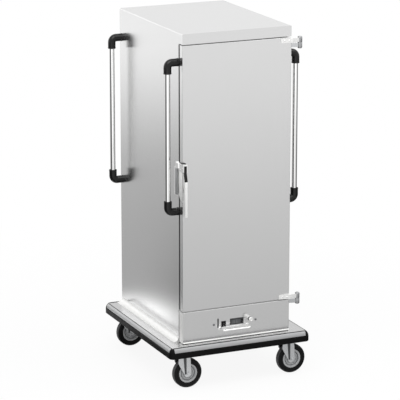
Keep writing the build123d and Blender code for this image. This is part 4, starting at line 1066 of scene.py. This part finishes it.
@dataclass
class HeaterDrawer:
    """The drawer with the air heater, and the control strip on its front."""

    front_y: float = -403.0
    knob: Pair = (66.0, 343.0)
    knob_base: float = -404.0
    knob_radius: float = 12.0
    flutes: int = 36
    flute_depth: float = 0.45
    pointer_half: float = 0.6
    pointer_y: Pair = (-441.6, -431.0)
    pointer_rise: Pair = (11.1, 12.1)
    digits: str = "65"
    digit_size: Pair = (7.6, 14.0)
    digit_start: float = 17.0
    digit_space: float = 5.0
    digit_gaps: Pair = (0.6, 0.5)
    stroke: float = 1.7
    segment_y: Pair = (-0.25, 0.1)
    key_half: float = 2.8
    key_columns: Pair = (-13.6, -6.2)
    key_rows: Pair = (5.4, -5.4)
    key_y: Pair = (-0.9, 0.4)
    slot: Triple = (-107.0, 309.0, 355.0)
    guard_half: float = 5.0
    guard_y: Pair = (1.7, 4.7)
    guard_lap: float = 4.0
    edging: float = 3.6
    edging_wall: float = 2.4
    edging_lap: float = 2.0
    edging_y: Pair = (-1.0, 0.1)
    lip_inset: float = 1.0
    plate_y: Pair = (-401.0, -355.5)
    joint_y: Pair = (-354.5, -350.4)
    plate_z: Pair = (244.0, 410.0)
    plate_x: Pair = (0.2, 0.3)
    bow_ends: Pair = (-96.0, 63.0)
    bow_z: float = 303.0
    bow_front: float = -452.6
    bow_back: float = -392.0
    bow_radius: float = 5.4
    bow_bend: float = 13.0
    bow_steps: int = 8
    strip_inset: float = 8.0
    strip_y: Pair = (-3.6, 0.4)
    strip_half: float = 6.5
    ridge_reach: float = 4.0
    ring_reach: float = 2.5
    mark_share: float = 0.55

    # Sections by radius and height of turned shapes, and the outline along Y and Z of the front's bottom fold
    KNOB = ((0.0, 0.0), (11.0, 0.0), (11.7, 0.5), (11.7, 5.0), (12.0, 6.0), (12.0, 33.0), (11.7, 34.0), (11.7, 38.0),
            (10.1, 40.0), (7.8, 40.0), (7.2, 38.8), (4.8, 38.8), (4.2, 39.6), (0.0, 39.8))
    BAND = ((10.8, 25.0), (12.2, 25.2), (12.2, 33.8), (10.8, 34.0))
    ROSETTE = ((0.0, 0.0), (10.5, 0.0), (10.5, 1.4), (9.6, 2.6), (8.0, 3.2), (0.0, 3.2))
    OFF_RING = ((1.9, -0.1), (2.7, -0.1), (2.7, 0.15), (1.9, 0.15))
    LIP = ((-402.9, 249.5), (-406.2, 245.0), (-406.2, 242.8), (-402.9, 242.8))
    # The segments of a digit by their place across and up, and which ones each digit shows
    SEGMENTS = {"a": (0, 2), "c": (1, 0.5), "d": (0, 0), "e": (-1, 0.5), "f": (-1, 1.5), "g": (0, 1)}
    LYING = "agd"
    SHOWN = {"5": "afgcd", "6": "afgecd"}

    def build_knob(self) -> None:
        """Makes the turned regulator knob with a fluted grip and a ringed end, its black band and pointer line."""
        (x, z), r = self.knob, self.knob_radius
        shape = Shape.turned(self.KNOB, 2 * self.flutes)
        for vert in (v for v in shape.verts if abs(v.co.xy.length - r) < 1e-3):
            turn = round(math.atan2(vert.co.y, vert.co.x) / (math.pi / self.flutes))
            if turn % 2:
                vert.co.xy *= (r - self.flute_depth) / r
        place = Along.FRONT.place(x, self.knob_base, z)
        Piece("knob_turned").take(shape, place).done(Finishes.SATIN, "regulator_knob", ("regulator_knob",))
        line = Shape.block(about(x, self.pointer_half), self.pointer_y, moved(self.pointer_rise, z), 0.25, 1)
        pointer = Piece("knob_pointer").take(line).take(Shape.turned(self.BAND, 48), place)
        pointer.done(Finishes.NYLON, "regulator_knob")

    def build_display(self) -> None:
        """Makes the unlit digits in the window and the four keys beside it."""
        low, high = box_mm("controller_window")
        middle, (width, height), half = (low.z + high.z) / 2, self.digit_size, self.stroke / 2
        digits, keys = Piece("display_digits"), Piece("display_keys")
        for place, digit in enumerate(self.digits):
            for name in self.SHOWN[digit]:
                across, rise = self.SEGMENTS[name]
                x = low.x + self.digit_start + place * (width + self.digit_space) + across * (width / 2 - half)
                z = middle + (rise - 1) * height / 2
                half_x, half_z = half, height / 4 - self.digit_gaps[1]
                if name in self.LYING:
                    half_x, half_z = width / 2 - self.digit_gaps[0], half
                digits.take(Shape.block(about(x, half_x), moved(self.segment_y, low.y), about(z, half_z), 0.12, 1))
        digits.done(Finishes.SEGMENT, "heater_drawer")
        low, high = box_mm("controller_bezel")
        for x in moved(self.key_columns, high.x):
            for z in moved(self.key_rows, middle):
                keys.take(Shape.block(about(x, self.key_half), moved(self.key_y, low.y), about(z, self.key_half), 0.6))
        keys.done(Finishes.NYLON, "heater_drawer")

    def build_slot_guard(self) -> None:
        """Makes the black edging of the narrow upright slot, and the guard behind it."""
        x, low, high = self.slot
        guard = Shape.block(about(x, self.guard_half), moved(self.guard_y, self.front_y),
                            inset(low, high, -self.guard_lap), 1.0)
        edging = Shape.frame(about(x, self.edging), moved(self.edging_y, self.front_y),
                             inset(low, high, -self.edging_lap), self.edging_wall, 0.4)
        Piece("slot_guard").take(guard).take(edging).done(Finishes.NYLON, "heater_drawer")

    def build_trim(self) -> None:
        """Makes the drawer front's bright bottom fold and edge plates, and the dark strips behind the plates, painted
        shade of the joints.
        """
        low, high = box_mm("drawer_front")
        trim, joints = Piece("drawer_trim"), Piece("drawer_joint_shade")
        trim.take(Shape.prism([(low.x + self.lip_inset, y, z) for y, z in self.LIP],
                              (high.x - low.x - 2 * self.lip_inset, 0, 0)))
        for side, edge in ((-1, low.x), (1, high.x)):
            span = sorted((edge - side * self.plate_x[0], edge + side * self.plate_x[1]))
            # the strips at joint_y are painted shade of the gaps beside the drawer front
            for piece, y in ((trim, self.plate_y), (joints, self.joint_y)):
                piece.take(Shape.block(span, y, self.plate_z, 0.1, 1))
        trim.done(Finishes.SATIN, "heater_drawer")
        joints.done(Finishes.SHADE_ZINC, "heater_drawer")

    def build_bow(self) -> None:
        """Makes the bow handle anew, a bent rod with a rosette at each foot and a half-round strip between them."""
        (left, right), bend, z = self.bow_ends, self.bow_bend, self.bow_z
        turn_y = self.bow_front + bend
        shape, edges = Shape.rod(self.bow_radius, 28, Along.FRONT.place(left, self.bow_back, z))
        edges = Shape.push(shape, edges, Vector((0, turn_y - self.bow_back, 0)))
        for x, run in ((left + bend, Vector((right - left - 2 * bend, 0, 0))),
                       (right - bend, Vector((0, self.bow_back - self.bow_front - bend, 0)))):
            edges = Shape.bend(shape, edges, (x, turn_y, z), (0, 0, 1), self.bow_steps)
            edges = Shape.push(shape, edges, run)
        bmesh.ops.edgeloop_fill(shape, edges=edges)
        bow = Piece("bow_handle").take(shape)
        for x in (left, right):
            bow.take(Shape.turned(self.ROSETTE, 32), Along.FRONT.place(x, self.front_y, z))
        bow.take(Shape.block(inset(left, right, self.strip_inset), moved(self.strip_y, self.front_y),
                             about(z, self.strip_half), 3.4, 5))
        bow.done(Finishes.POLISHED, "heater_drawer", ("pull_handle",))

    def build_marks(self) -> None:
        """Makes the on and off marks on the two slopes of the rocker."""
        low, high = box_mm("switch_rocker")
        x, right = (low.x + high.x) / 2, Vector((1, 0, 0))
        ridge = Vector((x, self.front_y - self.ridge_reach, (low.z + high.z) / 2))
        line = Shape.block(about(0.0, 0.45), about(0.0, 2.6), (-0.1, 0.15), 0.08, 1)
        ring = Shape.turned(self.OFF_RING, 20)
        marks = Piece("rocker_marks")
        for end, shape in ((Vector((x, low.y, high.z)), line),
                           (Vector((x, self.front_y - self.ring_reach, low.z)), ring)):
            outward = (end - ridge).normalized().cross(right)
            outward = outward if outward.y < 0 else -outward
            turn = Matrix((right, outward.cross(right), outward)).transposed().to_4x4()
            marks.take(shape, Matrix.Translation(ridge.lerp(end, self.mark_share)) @ turn)
        marks.done(Finishes.PRINT, "switch_rocker")

    def build(self) -> None:
        """Dresses the drawer's nodes and makes the control strip's fine pieces."""
        dress(Finishes.SHEET, "drawer_front")
        dress(Finishes.FLAT_SHEET, "drawer_chassis", "water_tray")
        dress(Finishes.BROWNED, "panel_screws")
        dress(Finishes.NYLON, "switch_frame", "switch_rocker", "regulator_body")
        dress(Finishes.ABS, "controller_bezel")
        dress(Finishes.WINDOW, "controller_window")
        dress(Finishes.CASTING, "fan_motor")
        dress(Finishes.ALUMINIUM, "fan_impeller")
        dress(Finishes.HEATER, "heating_element")
        self.build_knob()
        self.build_display()
        self.build_slot_guard()
        self.build_trim()
        self.build_bow()
        self.build_marks()


@dataclass
class Studio:
    """White studio: floor, a toned card on it that only mirrors see, soft lamps, world and camera, in metres."""

    floor_radius: float = 14.0
    floor_glow: float = 0.9
    shadow_reach: Pair = (0.9, 3.0)
    card_radius: float = 12.0
    card_lift: float = 0.001
    card_reaches: Triple = (1.5, 5.0, 9.0)
    patch_middle: Pair = (-0.65, 0.86)
    patch_half: Pair = (0.18, 0.52)
    patch_most: float = 3.0
    ambient: float = 0.62
    lens: float = 213.13
    sensor: float = 36.0
    clip_end: float = 100.0
    camera_place: Triple = (-5.0355, -11.2389, 4.0947)
    camera_way: Triple = (0.39368, 0.88419, -0.25145)
    lamp_aim: Triple = (0.0, 0.0, 0.9)
    lamps: tuple[tuple[str, Triple, float, float], ...] = (
        ("key_softbox", (-2.4, -2.8, 7.0), 4.4, 170.0),
        ("fill_softbox", (2.8, -2.2, 6.2), 3.6, 70.0),
        ("top_softbox", (0.6, 0.4, 5.2), 2.6, 12.0),
        ("rear_softbox", (-3.9, 8.0, 2.7), 2.4, 28.0),
    )

    # The card's tone by direction round the object: degrees from the right, then its tones at the three reaches
    CARD_TONES = ((-180, 0.2, 0.14, 0.2), (-151, 0.2, 0.14, 0.2), (-143, 0.8, 1.0, 1.2), (-132, 0.9, 1.3, 1.5),
                  (-108, 0.9, 1.3, 1.5), (-94, 0.66, 0.82, 1.08), (-66, 0.65, 0.8, 1.08), (-50, 0.65, 0.8, 1.08),
                  (-42, 0.24, 0.12, 0.2), (18, 0.24, 0.12, 0.2), (30, 0.5, 0.7, 0.9), (66, 0.5, 0.7, 1.0),
                  (92, 0.5, 0.6, 1.26), (124, 0.5, 0.58, 1.3), (131, 0.2, 0.14, 0.2), (180, 0.2, 0.14, 0.2))

    @staticmethod
    def seen(tree: Tree) -> Socket:
        """Gives 1 for camera, glossy and transmission rays, and 0 for the rest.

        Args:
            tree: The node tree that gets the nodes.

        Returns:
            The value's socket.
        """
        path = add_node(tree, "ShaderNodeLightPath")
        value = path.outputs["Is Camera Ray"]
        for kind in ("Is Glossy Ray", "Is Transmission Ray"):
            value = add_node(tree, "ShaderNodeMath", {0: value, 1: path.outputs[kind]}, operation="MAXIMUM").outputs[0]
        return value

    @staticmethod
    def reach(tree: Tree) -> Socket:
        """Gives the distance from the object's middle on the floor, in metres."""
        spot = add_node(tree, "ShaderNodeTexCoord").outputs["Object"]
        return add_node(tree, "ShaderNodeVectorMath", {0: spot}, operation="LENGTH").outputs["Value"]

    @staticmethod
    def disc(name: str, paint: str, radius: float, height: float) -> tuple[bpy.types.Object, Tree]:
        """Makes a flat disc that belongs to the stage, with a material that has only its output node.

        Args:
            name: Name of the object.
            paint: Name of the material.
            radius: Radius of the disc.
            height: Height over the floor.

        Returns:
            The disc and its material's node tree.
        """
        shape = Shape.turned([(0.0, height), (radius, height)], 96)
        bmesh.ops.remove_doubles(shape, verts=shape.verts, dist=1e-6)
        bmesh.ops.recalc_face_normals(shape, faces=shape.faces)
        data = bpy.data.meshes.new(name)
        shape.to_mesh(data)
        shape.free()
        made = linked(name, data)
        material = bpy.data.materials.new(paint)
        material.use_nodes = True
        tree = material.node_tree
        tree.nodes.remove(tree.nodes["Principled BSDF"])
        data.materials.append(material)
        return made, tree

    def build_floor(self) -> None:
        """Makes the white floor, which keeps the object's shadow near it."""
        _, tree = self.disc("studio_floor", "studio_floor_white", self.floor_radius, 0.0)
        seen = self.seen(tree)
        share = add_node(tree, "ShaderNodeMapRange",
                         {"Value": self.reach(tree), "From Min": self.shadow_reach[0], "From Max": self.shadow_reach[1],
                          "To Min": self.floor_glow, "To Max": 1.0}, interpolation_type="SMOOTHSTEP")
        glowing = add_node(tree, "ShaderNodeMath", {0: seen, 1: share.outputs["Result"]}, operation="MULTIPLY")
        tone = add_node(tree, "ShaderNodeMix", {0: seen, 6: linear("#B4B4B4"), 7: linear("#FFFFFF")}, data_type="RGBA")
        matte = add_node(tree, "ShaderNodeBsdfDiffuse", {"Color": tone.outputs[2]})
        glow = add_node(tree, "ShaderNodeEmission", {"Color": linear("#FFFFFF"), "Strength": 1.0})
        mixed = add_node(tree, "ShaderNodeMixShader", {0: glowing.outputs[0], 1: matte.outputs[0], 2: glow.outputs[0]})
        feed(tree, tree.nodes["Material Output"], {"Surface": mixed.outputs[0]})

    def build_card(self) -> None:
        """Makes the card round the object, which gives the steel its fall of tone, its dark edges and a bright foot."""
        card, tree = self.disc("studio_toned_card", "studio_card_grey", self.card_radius, self.card_lift)
        for way in ("camera", "diffuse", "transmission", "shadow", "volume_scatter"):
            setattr(card, f"visible_{way}", False)
        spot = add_node(tree, "ShaderNodeTexCoord").outputs["Object"]
        turn = add_node(tree, "ShaderNodeTexGradient", {"Vector": spot}, gradient_type="RADIAL")
        tones = []
        for column in (1, 2, 3):
            ramp = add_node(tree, "ShaderNodeValToRGB", {"Fac": turn.outputs["Fac"]})
            while len(ramp.color_ramp.elements) < len(self.CARD_TONES):
                ramp.color_ramp.elements.new(0.5)
            for stop, row in zip(ramp.color_ramp.elements, self.CARD_TONES):
                stop.position = row[0] / 360 + 0.5
                stop.color = (row[column],) * 3 + (1.0,)
            tones.append(ramp.outputs["Color"])
        level = tones[0]
        for near, far, tone in zip(self.card_reaches, self.card_reaches[1:], tones[1:]):
            fade = add_node(tree, "ShaderNodeMapRange", {"Value": self.reach(tree), "From Min": near, "From Max": far})
            level = add_node(tree, "ShaderNodeMix", {0: fade.outputs["Result"], 6: level, 7: tone},
                             data_type="RGBA").outputs[2]
        glow = add_node(tree, "ShaderNodeEmission", {"Color": level, "Strength": 1.0})
        (x, y), (wide, long) = self.patch_middle, self.patch_half
        placed = add_node(tree, "ShaderNodeMapping", {"Vector": spot, "Scale": (1 / wide, 1 / long, 1),
                                                      "Location": (-x / wide, -y / long, 0)})
        round_fade = add_node(tree, "ShaderNodeTexGradient", {"Vector": placed.outputs["Vector"]},
                              gradient_type="SPHERICAL")
        power = add_node(tree, "ShaderNodeMath", {0: round_fade.outputs["Fac"], 1: self.patch_most},
                         operation="MULTIPLY")
        patch = add_node(tree, "ShaderNodeEmission", {"Color": linear("#FFFFFF"), "Strength": power.outputs[0]})
        both = add_node(tree, "ShaderNodeAddShader", {0: glow.outputs[0], 1: patch.outputs[0]})
        feed(tree, tree.nodes["Material Output"], {"Surface": both.outputs[0]})

    @staticmethod
    def look(holder: bpy.types.Object, place: Triple, way: Vector) -> None:
        """Puts a lamp or camera at a place.

        Args:
            holder: The lamp or camera object.
            place: Where it stands.
            way: The direction that it looks in.
        """
        holder.location = place
        holder.rotation_mode = "QUATERNION"
        holder.rotation_quaternion = way.to_track_quat("-Z", "Y")

    def build_light(self) -> None:
        """Makes the soft lamps and the white world."""
        for name, place, size, power in self.lamps:
            data = bpy.data.lights.new(name, "AREA")
            data.shape, data.size, data.energy = "SQUARE", size, power
            self.look(linked(name, data), place, Vector(self.lamp_aim) - Vector(place))
        world = bpy.data.worlds.new("studio_world")
        world.use_nodes = True
        tree = world.node_tree
        strength = add_node(tree, "ShaderNodeMapRange",
                            {"Value": self.seen(tree), "To Min": self.ambient, "To Max": 1.0})
        feed(tree, tree.nodes["Background"], {"Color": linear("#FFFFFF"), "Strength": strength.outputs["Result"]})
        bpy.context.scene.world = world

    def build_camera(self) -> None:
        """Sets the camera where the photograph was taken from."""
        data = bpy.data.cameras.new("photo_camera")
        data.lens, data.sensor_width, data.clip_end = self.lens, self.sensor, self.clip_end
        camera = linked("photo_camera", data)
        self.look(camera, self.camera_place, Vector(self.camera_way))
        bpy.context.scene.camera = camera

    def build(self) -> None:
        """Builds the studio and sets the plain view transform."""
        self.build_floor()
        self.build_card()
        self.build_light()
        self.build_camera()
        bpy.context.scene.view_settings.view_transform = "Standard"


def main() -> None:
    """Builds every sub-assembly in order, then the studio."""
    logging.basicConfig(level=logging.INFO, format="%(message)s")
    for part in (Platform(), Casters(), Cabinet(), PushHandles(), Door(), HeaterDrawer(), Studio()):
        LOG.info("building %s", type(part).__name__)
        part.build()


if __name__ == "__main__":
    main()
